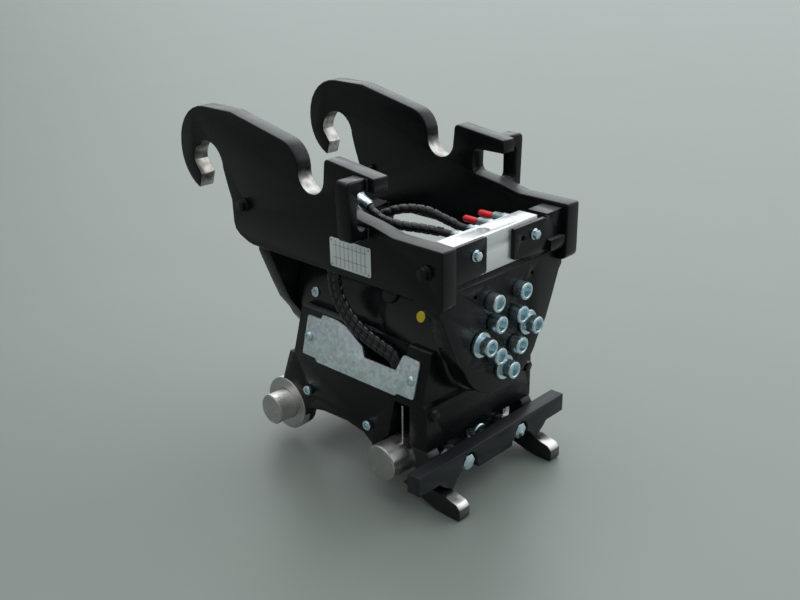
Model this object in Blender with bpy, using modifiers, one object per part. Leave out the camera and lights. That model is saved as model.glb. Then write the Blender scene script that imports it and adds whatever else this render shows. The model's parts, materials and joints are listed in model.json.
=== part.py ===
"""Tilting quick coupler for a compact excavator.

An upper frame of two hooked side plates hangs on the carrier's pins. It turns about a
lengthwise helical tilt actuator, whose housing is carried by the lower frame. The lower
frame has a fixed axle and two sliding lock pins for the tool, and two claws in front.
X runs from the hooks to the front end plate, Y from left to right, Z up from the floor.
"""

import math

import bmesh
import bpy
from mathutils import Matrix

# Clearances
GAP = 0.0003
RUN_GAP = 0.0006

# Interface shared by both frames
PIN_SPACING = 0.222
PLATE_SPACE = 0.222
PLATE_THICK = 0.025
PIN_REACH = 0.140

# Tilt axis
TILT_Z = 0.226

# Hooked side plates
HOOK_X = -0.192
HOOK_Z = 0.421
HOOK_OUTER_R = 0.060
HOOK_THROAT_R = 0.033
HOOK_RISE = 0.005
NOTCH_X = 0.024
NOTCH_Z = 0.426
NOTCH_R = 0.024
PLATE_TOP = 0.486
PLATE_BOTTOM = 0.305
PLATE_FRONT = 0.2465
PLATE_DECK = 0.375
BAR_END = 0.138
BAR_DEPTH = 0.018
PLATE_BEVEL = 0.0012

PLATE_BOLT_R = 0.005
PLATE_BOLT_HEAD_R = 0.0085
PLATE_BOLTS = (("rear", -0.116, 0.360), ("front", 0.220, 0.344))

# Name plate on the left side plate
NAME_X = 0.0935
NAME_Z = 0.3345
NAME_WIDTH = 0.073
NAME_HEIGHT = 0.039
NAME_THICK = 0.0012

# Guard straps outside the plate windows
STRAP_X = 0.104
STRAP_WIDTH = 0.023
STRAP_REACH = 0.034
STRAP_LEG = 0.017
STRAP_ARM = 0.016
STRAP_FOOT_Z = 0.366
STRAP_FOOT = 0.014

# End plates on the shaft
END_THICK = 0.025
END_FRONT_X = 0.231
END_REAR_X = -0.105
END_DISC_R = 0.083
END_SHOULDER = 0.125
END_TOP = 0.316
END_PLUG_HOLE_Y = 0.058
END_PLUG_HOLE_Z = 0.292
END_PLUG_HOLE_R = 0.0035
REAR_SCREWS = 8

# Tilt actuator
BARREL_R = 0.080
DRUM_R = 0.088
DRUM_X = 0.100
DRUM_FILLET = 0.014
BORE_R = 0.060
SHAFT_R = 0.034
FLANGE_R = 0.062
FLANGE_LENGTH = 0.024
PISTON_LENGTH = 0.104
HOUSING_PLUG_X = -0.040
HOUSING_PLUG_R = 0.0075
HOUSING_PLUG_TURN = 6.5
HOUSING_BOSS_X = 0.105
HOUSING_BOSS_R = 0.013
HOUSING_BOSS_TURN = 30.0

# Shaft screws
SCREW_HEAD_R = 0.012
SCREW_HEAD = 0.016
SCREW_SHANK_R = 0.008
SCREW_SHANK = 0.021
SOCKET_R = 0.0081
SOCKET_DEPTH = 0.009
SCREW_SQUARE = 0.022
SCREW_UPPER_Y = 0.028
SCREW_UPPER_Z = 0.053
SCREW_RING_R = 0.048
WASHER_R = 0.017
WASHER = 0.005

# Lower frame
BASE_WIDTH = 0.220
BASE_AXIS_Z = 0.056
AXLE_X = -0.0825
AXLE_R = 0.0225
AXLE_END_R = 0.0395
COLLAR_R = 0.040
COLLAR = 0.010
COLLAR_RISE = 0.001
LEDGE_Z = 0.146
LEAN_Z = 0.150
BASE_TOP = 0.214
BASE_TOP_WIDTH = 0.186
CHEEK_FRONT = 0.196
CHEEK_REAR = 0.166
CHEEK_BOTTOM = 0.081
NOSE_X = 0.180
CORE_WIDTH = 0.140
BASE_WALL = 0.022
BELLY_FRONT = 0.070
BELLY_TOP = 0.118
SIDE_SCREWS = ((-0.030, 0.096), (0.090, 0.084))
SIDE_SCREW_R = 0.005
LEDGE_BOLT_R = 0.004
LEDGE_BOLT_IN = 0.012
LEDGE_BOLT_DOWN = 0.014
LOCK_R = 0.0255
LOCK_TRAVEL = 0.030
LOCK_STOP = 0.003
LOCK_LENGTH = 0.092
LOCK_BOSS_R = 0.034
LOCK_ROD_X = 0.152
LOCK_ROD_Y = 0.108
LOCK_ROD_R = 0.0016
LOCK_ROD_TOP = 0.134

# Crossbar and claws
CROSSBAR_X = 0.2025
CROSSBAR_THICK = 0.021
CROSSBAR_TOP = 0.074
CROSSBAR_HALF = 0.155
CLAW_THICK = 0.021
CLAW_NOSE = 0.252
CLAW_TOP = 0.0285
CROSS_BOLT_Y = 0.056
CROSS_BOLT_Z = 0.054
CROSS_BOLT_R = 0.007
POCKET_R = 0.0150
POCKET_DEPTH = 0.010

# Cover plate on the left wall
COVER_THICK = 0.003
COVER_REAR = -0.0375
COVER_FRONT = 0.176
COVER_LOW = 0.152
COVER_TOP = 0.206
COVER_STANDOFF = 0.0005
COVER_BOLT_R = 0.0035
COVER_BOLTS = ((-0.030, 0.178), (0.166, 0.174))

# Hydraulic manifold
MANIFOLD_X = 0.204
MANIFOLD_DEPTH = 0.030
MANIFOLD_LEFT = -0.102
MANIFOLD_RIGHT = 0.062
MANIFOLD_LOW = 0.320
MANIFOLD_TOP = 0.371
PORT_PITCH = 0.031
PORT_FIRST = 0.045
PORT_Z = 0.361
BRACKET_THICK = 0.005
BRACKET_LOW = 0.325
BRACKET_LEFT = -0.047
BRACKET_RIGHT = 0.007
BRACKET_BEND = 0.074
BRACKET_SCREW_R = 0.0035
BRACKET_SCREWS = ((-0.068, 0.352), (0.049, 0.3495))
BRACKET_SLOT = 0.0095
BRACKET_HOLE_Y = 0.0245
BRACKET_HOLE_R = 0.0042

# Hoses
HOSE_POCKET_Y = 0.0885
HOSE_POCKET_LOW = 0.166
HOSE_R = 0.0062
HOSE_GUARD = 1.42
HOSE_STEP = 0.014

LARGE_ROUND = 40
MEDIUM_ROUND = 28
SMALL_ROUND = 16
HOLE_ROUND = 12
SMALL = 1e-5
FILLET_STEP = math.radians(30)
ARC_STEP = math.radians(13)

PLATE_IN = PLATE_SPACE / 2
PLATE_OUT = PLATE_IN + PLATE_THICK
STRAP_OUT = PLATE_OUT + STRAP_REACH
PISTON_X = (END_REAR_X + END_FRONT_X) / 2
LOCK_X = AXLE_X + PIN_SPACING
LOCK_BOSS_Y = LOCK_ROD_Y - LOCK_TRAVEL - LOCK_STOP
BASE_HALF = BASE_WIDTH / 2
MANIFOLD_FRONT = MANIFOLD_X + MANIFOLD_DEPTH
COVER_LEAN = math.atan2((BASE_WIDTH - BASE_TOP_WIDTH) / 2, BASE_TOP - LEAN_Z)

bodies = {}
collections = {}
materials = {}


def clear_scene():
    for leftover in list(bpy.data.objects):
        bpy.data.objects.remove(leftover, do_unlink=True)


def make_collections():
    for name in ("tilting_quick_coupler", "cutters"):
        collections[name] = bpy.data.collections.new(name)
        bpy.context.scene.collection.children.link(collections[name])


def make_material(name, colour, roughness, metallic):
    material = bpy.data.materials.new(name)
    material.use_nodes = True
    shader = material.node_tree.nodes["Principled BSDF"]
    shader.inputs["Base Color"].default_value = (*colour, 1.0)
    shader.inputs["Roughness"].default_value = roughness
    shader.inputs["Metallic"].default_value = metallic
    materials[name] = material


def make_materials():
    make_material("black_paint", (0.012, 0.012, 0.013), 0.42, 0.0)
    make_material("bar_black", (0.045, 0.047, 0.05), 0.5, 0.3)
    make_material("bare_steel", (0.56, 0.54, 0.52), 0.28, 1.0)
    make_material("zinc", (0.66, 0.70, 0.74), 0.25, 1.0)
    make_material("galvanised", (0.62, 0.66, 0.68), 0.42, 1.0)
    make_material("aluminium", (0.80, 0.81, 0.82), 0.35, 1.0)
    make_material("cap_red", (0.62, 0.03, 0.03), 0.4, 0.0)
    make_material("hose_black", (0.012, 0.012, 0.012), 0.2, 0.0)
    make_material("label_white", (0.75, 0.77, 0.77), 0.4, 0.2)


def make_bodies():
    """One empty for each body that moves by itself, on its joint's axis."""
    places = {
        "lower_frame": (0.0, 0.0, 0.0),
        "upper_frame": (0.0, 0.0, TILT_Z),
        "piston": (PISTON_X, 0.0, TILT_Z),
        "lock_left": (LOCK_X, -PIN_REACH, BASE_AXIS_Z),
        "lock_right": (LOCK_X, PIN_REACH, BASE_AXIS_Z),
    }
    for name, place in places.items():
        body = bpy.data.objects.new(name + "_axis", None)
        collections["tilting_quick_coupler"].objects.link(body)
        body.matrix_world = Matrix.Translation(place)
        bodies[name] = body


def link(obj, collection="tilting_quick_coupler"):
    collections[collection].objects.link(obj)
    return obj


def finish(obj, body, material):
    """Gives a piece its body and material, keeping its place."""
    world = obj.matrix_world.copy()
    obj.parent = bodies[body]
    obj.matrix_parent_inverse = bodies[body].matrix_world.inverted()
    obj.matrix_world = world
    obj.data.materials.clear()
    obj.data.materials.append(materials[material])
    obj.data.shade_smooth()
    obj.data.set_sharp_from_angle(angle=math.radians(34))


def bake(obj):
    """The evaluated mesh of an object as a plain, welded mesh object."""
    bpy.context.view_layer.update()
    graph = bpy.context.evaluated_depsgraph_get()
    mesh = bpy.data.meshes.new_from_object(obj.evaluated_get(graph))
    shell = bmesh.new()
    shell.from_mesh(mesh)
    bmesh.ops.remove_doubles(shell, verts=shell.verts, dist=SMALL)
    flat = math.radians(0.5)
    bmesh.ops.dissolve_limit(shell, angle_limit=flat, verts=shell.verts, edges=shell.edges)
    bmesh.ops.recalc_face_normals(shell, faces=shell.faces)
    shell.to_mesh(mesh)
    shell.free()
    world = obj.matrix_world.copy()
    label = obj.name
    home = obj.users_collection[0]
    bpy.data.objects.remove(obj, do_unlink=True)
    solid = bpy.data.objects.new(label, mesh)
    home.objects.link(solid)
    solid.matrix_world = world
    return solid


def arc(u, v, radius, start, end):
    """Points of an arc, angles in degrees, from start to end."""
    sweep = math.radians(end - start)
    count = max(2, math.ceil(abs(sweep) / ARC_STEP))
    first = math.radians(start)
    return [
        (u + radius * math.cos(first + sweep * i / count), v + radius * math.sin(first + sweep * i / count))
        for i in range(count + 1)
    ]


def fillet(corners):
    """Rounds the corners (u, v, radius) of a closed outline, no further than half a side; 0 stays sharp."""
    points = []
    total = len(corners)
    for i, (u, v, radius) in enumerate(corners):
        if radius <= 0:
            points.append((u, v))
            continue
        before = corners[i - 1]
        after = corners[(i + 1) % total]
        angle_in = math.atan2(before[1] - v, before[0] - u)
        angle_out = math.atan2(after[1] - v, after[0] - u)
        opening = (angle_out - angle_in + math.pi) % (2 * math.pi) - math.pi
        side = min(math.dist(before[:2], (u, v)), math.dist(after[:2], (u, v)))
        reach = min(radius / math.tan(abs(opening) / 2), side / 2)
        radius = reach * math.tan(abs(opening) / 2)
        middle = angle_in + opening / 2
        depth = radius / math.sin(abs(opening) / 2)
        centre_u = u + depth * math.cos(middle)
        centre_v = v + depth * math.sin(middle)
        first_u = u + reach * math.cos(angle_in)
        first_v = v + reach * math.sin(angle_in)
        last_u = u + reach * math.cos(angle_out)
        last_v = v + reach * math.sin(angle_out)
        start = math.atan2(first_v - centre_v, first_u - centre_u)
        end = math.atan2(last_v - centre_v, last_u - centre_u)
        sweep = (end - start + math.pi) % (2 * math.pi) - math.pi
        count = max(1, round(abs(sweep) / FILLET_STEP))
        for j in range(count + 1):
            turn = start + sweep * j / count
            points.append((centre_u + radius * math.cos(turn), centre_v + radius * math.sin(turn)))
    return points


def sharp(points):
    return [(u, v, 0.0) for u, v in points]


PLANES = {
    "XZ": Matrix.Rotation(math.pi / 2, 4, "X"),
    "YZ": Matrix.Rotation(math.pi / 2, 4, "Z") @ Matrix.Rotation(math.pi / 2, 4, "X"),
    "XY": Matrix.Identity(4),
}


def extruded(name, points, thickness, plane, place=(0.0, 0.0, 0.0), collection="tilting_quick_coupler"):
    """A closed flat outline in a plane of the frame, extruded evenly to both sides of it."""
    curve = bpy.data.curves.new(name, "CURVE")
    curve.dimensions = "2D"
    curve.fill_mode = "BOTH"
    curve.extrude = thickness / 2
    spline = curve.splines.new("POLY")
    spline.points.add(len(points) - 1)
    for point, (u, v) in zip(spline.points, points):
        point.co = (u, v, 0.0, 1.0)
    spline.use_cyclic_u = True
    obj = link(bpy.data.objects.new(name, curve), collection)
    obj.matrix_world = Matrix.Translation(place) @ PLANES[plane]
    return bake(obj)


AXES = {
    "X": Matrix.Rotation(math.pi / 2, 4, "Y"),
    "Y": Matrix.Rotation(-math.pi / 2, 4, "X"),
    "-Y": Matrix.Rotation(math.pi / 2, 4, "X"),
    "Z": Matrix.Identity(4),
}


def turned(name, profile, steps, axis, place, collection="tilting_quick_coupler"):
    """A profile of (radius, height), down its outer side, turned about an axis of the frame."""
    mesh = bpy.data.meshes.new(name)
    shell = bmesh.new()
    points = [shell.verts.new((radius, 0.0, height)) for radius, height in profile]
    for first, second in zip(points, points[1:]):
        shell.edges.new((first, second))
    if profile[0][0] > SMALL:
        shell.edges.new((points[-1], points[0]))
    shell.to_mesh(mesh)
    shell.free()
    obj = link(bpy.data.objects.new(name, mesh), collection)
    obj.matrix_world = Matrix.Translation(place) @ AXES[axis]
    screw = obj.modifiers.new("turn", "SCREW")
    screw.steps = steps
    screw.render_steps = steps
    screw.use_merge_vertices = True
    screw.merge_threshold = SMALL
    return bake(obj)


def rod(name, radius, low, high, axis, place, steps=32, collection="tilting_quick_coupler", chamfer=0.0):
    """A round bar from low to high along an axis through a place."""
    profile = [(0.0, high), (radius - chamfer, high), (radius, high - chamfer)]
    profile += [(radius, low + chamfer), (radius - chamfer, low), (0.0, low)]
    if chamfer <= 0:
        profile = [(0.0, high), (radius, high), (radius, low), (0.0, low)]
    return turned(name, profile, steps, axis, place, collection)


def box(name, low, high, collection="tilting_quick_coupler"):
    mesh = bpy.data.meshes.new(name)
    shell = bmesh.new()
    bmesh.ops.create_cube(shell, size=1.0)
    size = [b - a for a, b in zip(low, high)]
    bmesh.ops.scale(shell, vec=size, verts=shell.verts)
    shell.to_mesh(mesh)
    shell.free()
    obj = link(bpy.data.objects.new(name, mesh), collection)
    obj.matrix_world = Matrix.Translation([(a + b) / 2 for a, b in zip(low, high)])
    return obj


def hexagon(name, radius, low, high, axis, place, collection="tilting_quick_coupler"):
    """A six-sided prism of a given corner radius."""
    mesh = bpy.data.meshes.new(name)
    shell = bmesh.new()
    bmesh.ops.create_cone(shell, cap_ends=True, segments=6, radius1=radius, radius2=radius, depth=high - low)
    bmesh.ops.translate(shell, vec=(0.0, 0.0, (low + high) / 2), verts=shell.verts)
    shell.to_mesh(mesh)
    shell.free()
    obj = link(bpy.data.objects.new(name, mesh), collection)
    obj.matrix_world = Matrix.Translation(place) @ AXES[axis]
    return obj


def combine(obj, other, operation):
    """Joins, cuts or intersects one solid with another, which becomes a cutter."""
    for collection in list(other.users_collection):
        collection.objects.unlink(other)
    collections["cutters"].objects.link(other)
    other.hide_render = True
    other.display_type = "WIRE"
    step = obj.modifiers.new(operation.lower(), "BOOLEAN")
    step.operation = operation
    step.object = other
    step.solver = "EXACT"


def cut(obj, *others):
    for other in others:
        combine(obj, other, "DIFFERENCE")


def join(obj, *others):
    for other in others:
        combine(obj, other, "UNION")


def bevel(obj, width, angle=30.0):
    edge = obj.modifiers.new("edges", "BEVEL")
    edge.width = width
    edge.segments = 1
    edge.limit_method = "ANGLE"
    edge.angle_limit = math.radians(angle)


def copy_of(obj, name, matrix):
    """Another object with the same mesh."""
    twin = link(bpy.data.objects.new(name, obj.data))
    twin.matrix_world = matrix
    return twin


def mirrored(obj, name):
    """The same piece on the other side of the middle plane, with a mesh of its own."""
    mesh = obj.data.copy()
    across = Matrix.Scale(-1.0, 4, (0.0, 1.0, 0.0))
    world = across @ obj.matrix_world
    shell = bmesh.new()
    shell.from_mesh(mesh)
    bmesh.ops.transform(shell, matrix=world, verts=shell.verts)
    bmesh.ops.reverse_faces(shell, faces=shell.faces)
    shell.to_mesh(mesh)
    shell.free()
    return link(bpy.data.objects.new(name, mesh))


def side_plate_outline():
    """Hook, throat, notch, window bar and deck of one side plate, in X and Z."""
    throat_x = HOOK_X + 0.0015
    throat_z = HOOK_Z - 0.016
    outline = arc(HOOK_X, HOOK_Z, HOOK_OUTER_R, 246.5, 180)
    outline += arc(HOOK_X, HOOK_Z + HOOK_RISE, PLATE_TOP - HOOK_Z - HOOK_RISE, 180, 90)
    outline += [(-0.132, PLATE_TOP)]
    shoulder = NOTCH_R + 0.011
    outline += arc(NOTCH_X - NOTCH_R - shoulder, NOTCH_Z + 0.004, shoulder, 79, 0)
    outline += arc(NOTCH_X, NOTCH_Z, NOTCH_R, 180, 360)
    bar = [
        (NOTCH_X + NOTCH_R + 0.003, NOTCH_Z + 0.027, 0.006),
        (BAR_END, PLATE_TOP - 0.044, 0.0),
        (BAR_END, PLATE_TOP - 0.044 - BAR_DEPTH, 0.0),
        (0.085, PLATE_TOP - 0.044 - BAR_DEPTH, 0.007),
        (0.084, PLATE_DECK + 0.015, 0.009),
        (0.136, PLATE_DECK + 0.007, 0.0),
        (0.166, PLATE_DECK, 0.0),
        (PLATE_FRONT, PLATE_DECK, 0.003),
        (PLATE_FRONT, PLATE_BOTTOM - 0.008, 0.010),
        (0.206, PLATE_BOTTOM - 0.008, 0.0),
        (0.198, PLATE_BOTTOM, 0.0),
        (-0.108, PLATE_BOTTOM, 0.030),
        (-0.142, 0.318, 0.020),
        (-0.143, 0.362, 0.0),
        (-0.151, 0.384, 0.0),
        (throat_x + HOOK_THROAT_R, throat_z, 0.0),
    ]
    ends = [(outline[-1][0], outline[-1][1], 0.0)] + bar
    outline += fillet(ends)[1:]
    outline += arc(throat_x, throat_z, HOOK_THROAT_R, 14, 180)
    outline += [(HOOK_X - 0.017, HOOK_Z - 0.0345)]
    return outline


def side_plates():
    middle = -PLATE_IN - PLATE_THICK / 2
    plate = extruded("side_plate_left", side_plate_outline(), PLATE_THICK, "XZ", (0.0, middle, 0.0))
    for _, x, z in PLATE_BOLTS:
        hole_r = PLATE_BOLT_R + GAP
        cut(plate, rod("plate_bolt_hole", hole_r, -PLATE_THICK, PLATE_THICK, "Y", (x, middle, z), 16))
    plate = bake(plate)
    bevel(plate, PLATE_BEVEL, 40)
    plate = bake(plate)
    finish(mirrored(plate, "side_plate_right"), "upper_frame", "black_paint")
    finish(plate, "upper_frame", "black_paint")


def guard_straps():
    """C-shaped straps that guard the open side of each plate window."""
    inner = PLATE_OUT + GAP
    leg_in = STRAP_OUT - STRAP_LEG
    top = PLATE_TOP - 0.044
    corners = [
        (-inner, top, 0.0),
        (-STRAP_OUT, top, 0.007),
        (-STRAP_OUT + 0.003, STRAP_FOOT_Z, 0.005),
        (-inner, STRAP_FOOT_Z, 0.0),
        (-inner, STRAP_FOOT_Z + STRAP_FOOT, 0.0),
        (-leg_in, STRAP_FOOT_Z + STRAP_FOOT, 0.006),
        (-leg_in, top - STRAP_ARM, 0.006),
        (-inner, top - STRAP_ARM, 0.0),
    ]
    middle = STRAP_X + STRAP_WIDTH / 2
    strap = extruded("guard_strap_left", fillet(corners), STRAP_WIDTH, "YZ", (middle, 0.0, 0.0))
    bevel(strap, 0.002, 60)
    strap = bake(strap)
    finish(mirrored(strap, "guard_strap_right"), "upper_frame", "black_paint")
    finish(strap, "upper_frame", "black_paint")


def end_plate_outline(shoulder_z):
    """A disc about the tilt axis that widens to shoulders under the side plates."""
    between = PLATE_IN - GAP
    half = arc(0.0, TILT_Z, END_DISC_R, -90, -22)
    half += [(0.093, TILT_Z - 0.010), (0.105, TILT_Z + 0.018), (0.119, TILT_Z + 0.053)]
    half += [(END_SHOULDER, shoulder_z - 0.010), (END_SHOULDER, shoulder_z)]
    half += [(between, shoulder_z), (between, END_TOP)]
    turns = [math.radians(angle) for angle in range(15, 90, 15)]
    crown = [(between * math.cos(turn), END_TOP - 0.006 * math.sin(turn)) for turn in turns]
    right = half + crown
    left = [(-y, z) for y, z in reversed(right[1:])]
    return right + [(0.0, END_TOP - 0.006)] + left


def screw_places():
    """(Y, Z offset, with a washer) of each shaft screw."""
    places = [(y, z, False) for y in (-SCREW_SQUARE, SCREW_SQUARE) for z in (SCREW_SQUARE, -SCREW_SQUARE)]
    places += [(-SCREW_UPPER_Y, SCREW_UPPER_Z, False), (SCREW_UPPER_Y, SCREW_UPPER_Z, False)]
    places += [(-SCREW_RING_R, 0.0, True), (SCREW_RING_R, 0.0, True), (0.0, -SCREW_RING_R, True)]
    return places


def end_plates():
    front = extruded(
        "end_plate_front",
        end_plate_outline(PLATE_BOTTOM - 0.008 - GAP),
        END_THICK,
        "YZ",
        (END_FRONT_X - END_THICK / 2, 0.0, 0.0),
    )
    bevel(front, 0.001, 50)
    front = bake(front)
    for y, z, _ in screw_places():
        place = (END_FRONT_X, y, TILT_Z + z)
        cut(front, rod("screw_hole", SCREW_SHANK_R + GAP, -2 * END_THICK, END_THICK, "X", place, HOLE_ROUND))
    for side in (-1, 1):
        place = (END_FRONT_X, side * END_PLUG_HOLE_Y, END_PLUG_HOLE_Z)
        cut(front, rod("plug_hole", END_PLUG_HOLE_R, -0.012, 0.012, "X", place, 12))
    finish(front, "upper_frame", "black_paint")
    rear = extruded(
        "end_plate_rear",
        end_plate_outline(PLATE_BOTTOM - GAP),
        END_THICK,
        "YZ",
        (END_REAR_X + END_THICK / 2, 0.0, 0.0),
    )
    bevel(rear, 0.001, 50)
    rear = bake(rear)
    for i in range(REAR_SCREWS):
        turn = 2 * math.pi * i / REAR_SCREWS
        place = (END_REAR_X, SCREW_RING_R * math.cos(turn), TILT_Z + SCREW_RING_R * math.sin(turn))
        join(rear, rod("rear_screw", SCREW_HEAD_R, -SCREW_HEAD, 0.002, "X", place, HOLE_ROUND))
    finish(rear, "upper_frame", "black_paint")


def tilt_shaft():
    rear = END_REAR_X + END_THICK + GAP
    front = END_FRONT_X - END_THICK - GAP
    profile = [
        (0.0, front),
        (FLANGE_R - 0.002, front),
        (FLANGE_R, front - 0.002),
        (FLANGE_R, front - FLANGE_LENGTH),
        (SHAFT_R, front - FLANGE_LENGTH),
        (SHAFT_R, rear + FLANGE_LENGTH),
        (FLANGE_R, rear + FLANGE_LENGTH),
        (FLANGE_R, rear + 0.002),
        (FLANGE_R - 0.002, rear),
        (0.0, rear),
    ]
    shaft = turned("tilt_shaft", profile, MEDIUM_ROUND, "X", (0.0, 0.0, TILT_Z))
    finish(shaft, "upper_frame", "bare_steel")


def housing_profile(grow):
    """Outside of the barrel and drum, made larger all round by an amount."""
    rear = END_REAR_X + END_THICK + RUN_GAP - grow
    front = END_FRONT_X - END_THICK - RUN_GAP + grow
    barrel = BARREL_R + grow
    drum = DRUM_R + grow
    return [
        (drum - 0.003, front),
        (drum, front - 0.003),
        (drum, DRUM_X + DRUM_FILLET * 0.5),
        (drum - 0.002, DRUM_X),
        (barrel + 0.002, DRUM_X - DRUM_FILLET),
        (barrel, DRUM_X - 1.6 * DRUM_FILLET),
        (barrel, rear + 0.003),
        (barrel - 0.003, rear),
    ]


def outward(x, turn):
    """Local Z points away from the tilt axis on the left, turned up by an angle in degrees."""
    return Matrix.Translation((x, 0.0, TILT_Z)) @ Matrix.Rotation(-math.radians(turn), 4, "X") @ AXES["-Y"]


def actuator_housing():
    outside = housing_profile(0.0)
    front = outside[0][1]
    rear = outside[-1][1]
    bearing = FLANGE_R + RUN_GAP
    seat = FLANGE_LENGTH + RUN_GAP
    inside = [
        (bearing, rear),
        (bearing, rear + seat),
        (BORE_R - 0.004, rear + seat + 0.004),
        (BORE_R - 0.004, front - seat - 0.004),
        (bearing, front - seat),
        (bearing, front),
    ]
    housing = turned("actuator_housing", outside + inside, LARGE_ROUND, "X", (0.0, 0.0, TILT_Z))
    axis = (0.0, 0.0, 0.0)
    boss = rod("boss", HOUSING_BOSS_R, BARREL_R - 0.008, DRUM_R + 0.004, "Z", axis, 20, chamfer=0.0015)
    boss.matrix_world = outward(HOUSING_BOSS_X, HOUSING_BOSS_TURN)
    join(housing, boss)
    hole = rod("plug_hole", HOUSING_PLUG_R - 0.0015, BARREL_R - 0.008, BARREL_R + 0.01, "Z", axis, 16)
    hole.matrix_world = outward(HOUSING_PLUG_X, HOUSING_PLUG_TURN)
    cut(housing, hole)
    finish(housing, "lower_frame", "black_paint")
    plug_profile = [
        (0.0, BARREL_R - 0.0015),
        (HOUSING_PLUG_R - 0.0045, BARREL_R - 0.0015),
        (HOUSING_PLUG_R - 0.004, BARREL_R + 0.0025),
        (HOUSING_PLUG_R, BARREL_R + 0.0025),
        (HOUSING_PLUG_R, BARREL_R + GAP),
        (HOUSING_PLUG_R - 0.0018, BARREL_R + GAP),
        (HOUSING_PLUG_R - 0.0018, BARREL_R - 0.007),
        (0.0, BARREL_R - 0.007),
    ]
    plug = turned("housing_plug", plug_profile, SMALL_ROUND, "Z", axis)
    plug.matrix_world = outward(HOUSING_PLUG_X, HOUSING_PLUG_TURN)
    finish(plug, "lower_frame", "zinc")


def piston_sleeve():
    """The sleeve whose helical splines turn the shaft as oil pushes it along."""
    outer = BORE_R - 0.004 - RUN_GAP
    inner = SHAFT_R + RUN_GAP
    half = PISTON_LENGTH / 2
    profile = [
        (outer - 0.0015, half),
        (outer, half - 0.0015),
        (outer, -half + 0.0015),
        (outer - 0.0015, -half),
        (inner, -half),
        (inner, half),
    ]
    sleeve = turned("piston_sleeve", profile, MEDIUM_ROUND, "X", (PISTON_X, 0.0, TILT_Z))
    finish(sleeve, "piston", "bare_steel")


def socket_screw(name, washer):
    """A cap screw along X with its head's underside at the origin, and a thick washer if asked."""
    lift = WASHER if washer else 0.0
    top = lift + SCREW_HEAD
    profile = [(0.0, top), (SCREW_HEAD_R - 0.0012, top), (SCREW_HEAD_R, top - 0.0012)]
    if washer:
        profile += [(SCREW_HEAD_R, WASHER), (WASHER_R - 0.001, WASHER)]
        profile += [(WASHER_R, WASHER - 0.001), (WASHER_R, GAP)]
    else:
        profile += [(SCREW_HEAD_R, GAP)]
    profile += [(SCREW_SHANK_R, GAP), (SCREW_SHANK_R, -SCREW_SHANK), (0.0, -SCREW_SHANK)]
    screw = turned(name, profile, SMALL_ROUND, "X", (0.0, 0.0, 0.0))
    cut(screw, hexagon("socket", SOCKET_R, top - SOCKET_DEPTH, top + 0.004, "X", (0.0, 0.0, 0.0)))
    return bake(screw)


def shaft_screws():
    patterns = {False: socket_screw("screw_pattern", False), True: socket_screw("washer_screw_pattern", True)}
    for i, (y, z, washer) in enumerate(screw_places()):
        matrix = Matrix.Translation((END_FRONT_X, y, TILT_Z + z)) @ AXES["X"]
        screw = copy_of(patterns[washer], "shaft_screw_%d" % (i + 1), matrix)
        finish(screw, "upper_frame", "zinc")
    for pattern in patterns.values():
        bpy.data.objects.remove(pattern, do_unlink=True)


def hex_bolt(name, corner_r, head, flange, shank_r, shank):
    """A bolt along local Z, its seat at the origin and its head above."""
    flange_r = corner_r + 0.0015
    profile = [
        (0.0, flange + 0.001),
        (flange_r - 0.001, flange),
        (flange_r, GAP + 0.0006),
        (flange_r, GAP),
        (shank_r, GAP),
        (shank_r, -shank),
        (0.0, -shank),
    ]
    bolt = turned(name, profile, HOLE_ROUND, "Z", (0.0, 0.0, 0.0))
    join(bolt, hexagon("head", corner_r, flange / 2, flange + head, "Z", (0.0, 0.0, 0.0)))
    return bake(bolt)


def plate_bolts():
    """Bolts through the side plates: one behind the notch, one at the manifold bracket."""
    pattern = hex_bolt("bolt_pattern", PLATE_BOLT_HEAD_R, 0.006, 0.002, PLATE_BOLT_R, PLATE_THICK + 0.006)
    for label, x, z in PLATE_BOLTS:
        for side, axis, name in ((-1, "-Y", "left"), (1, "Y", "right")):
            matrix = Matrix.Translation((x, side * PLATE_OUT, z)) @ AXES[axis]
            finish(copy_of(pattern, "plate_bolt_%s_%s" % (label, name), matrix), "upper_frame", "black_paint")
    bpy.data.objects.remove(pattern, do_unlink=True)


def name_plate():
    wide = NAME_WIDTH / 2
    tall = NAME_HEIGHT / 2
    corners = [(-wide, -tall, 0.003), (wide, -tall, 0.003), (wide, tall, 0.003), (-wide, tall, 0.003)]
    place = (NAME_X, -PLATE_OUT - GAP - NAME_THICK / 2, NAME_Z)
    plate = extruded("name_plate", fillet(corners), NAME_THICK, "XZ", place)
    finish(plate, "upper_frame", "label_white")


def manifold():
    low = (MANIFOLD_X, MANIFOLD_LEFT, MANIFOLD_LOW)
    high = (MANIFOLD_FRONT, MANIFOLD_RIGHT, MANIFOLD_TOP)
    block = box("manifold", low, high)
    bevel(block, 0.0012)
    block = bake(block)
    middle = MANIFOLD_X + MANIFOLD_DEPTH / 2
    cut(block, rod("top_port", 0.0085, -0.012, 0.01, "Z", (middle, -0.030, MANIFOLD_TOP), SMALL_ROUND))
    for i in range(4):
        place = (MANIFOLD_X, PORT_FIRST - i * PORT_PITCH, PORT_Z)
        cut(block, rod("rear_port", 0.0058, -0.01, 0.012, "X", place, HOLE_ROUND))
    for y, z in BRACKET_SCREWS:
        place = (MANIFOLD_FRONT, y, z)
        cut(block, rod("bracket_screw_hole", BRACKET_SCREW_R + GAP, -0.006, 0.01, "X", place, 12))
    finish(block, "upper_frame", "aluminium")


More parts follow.
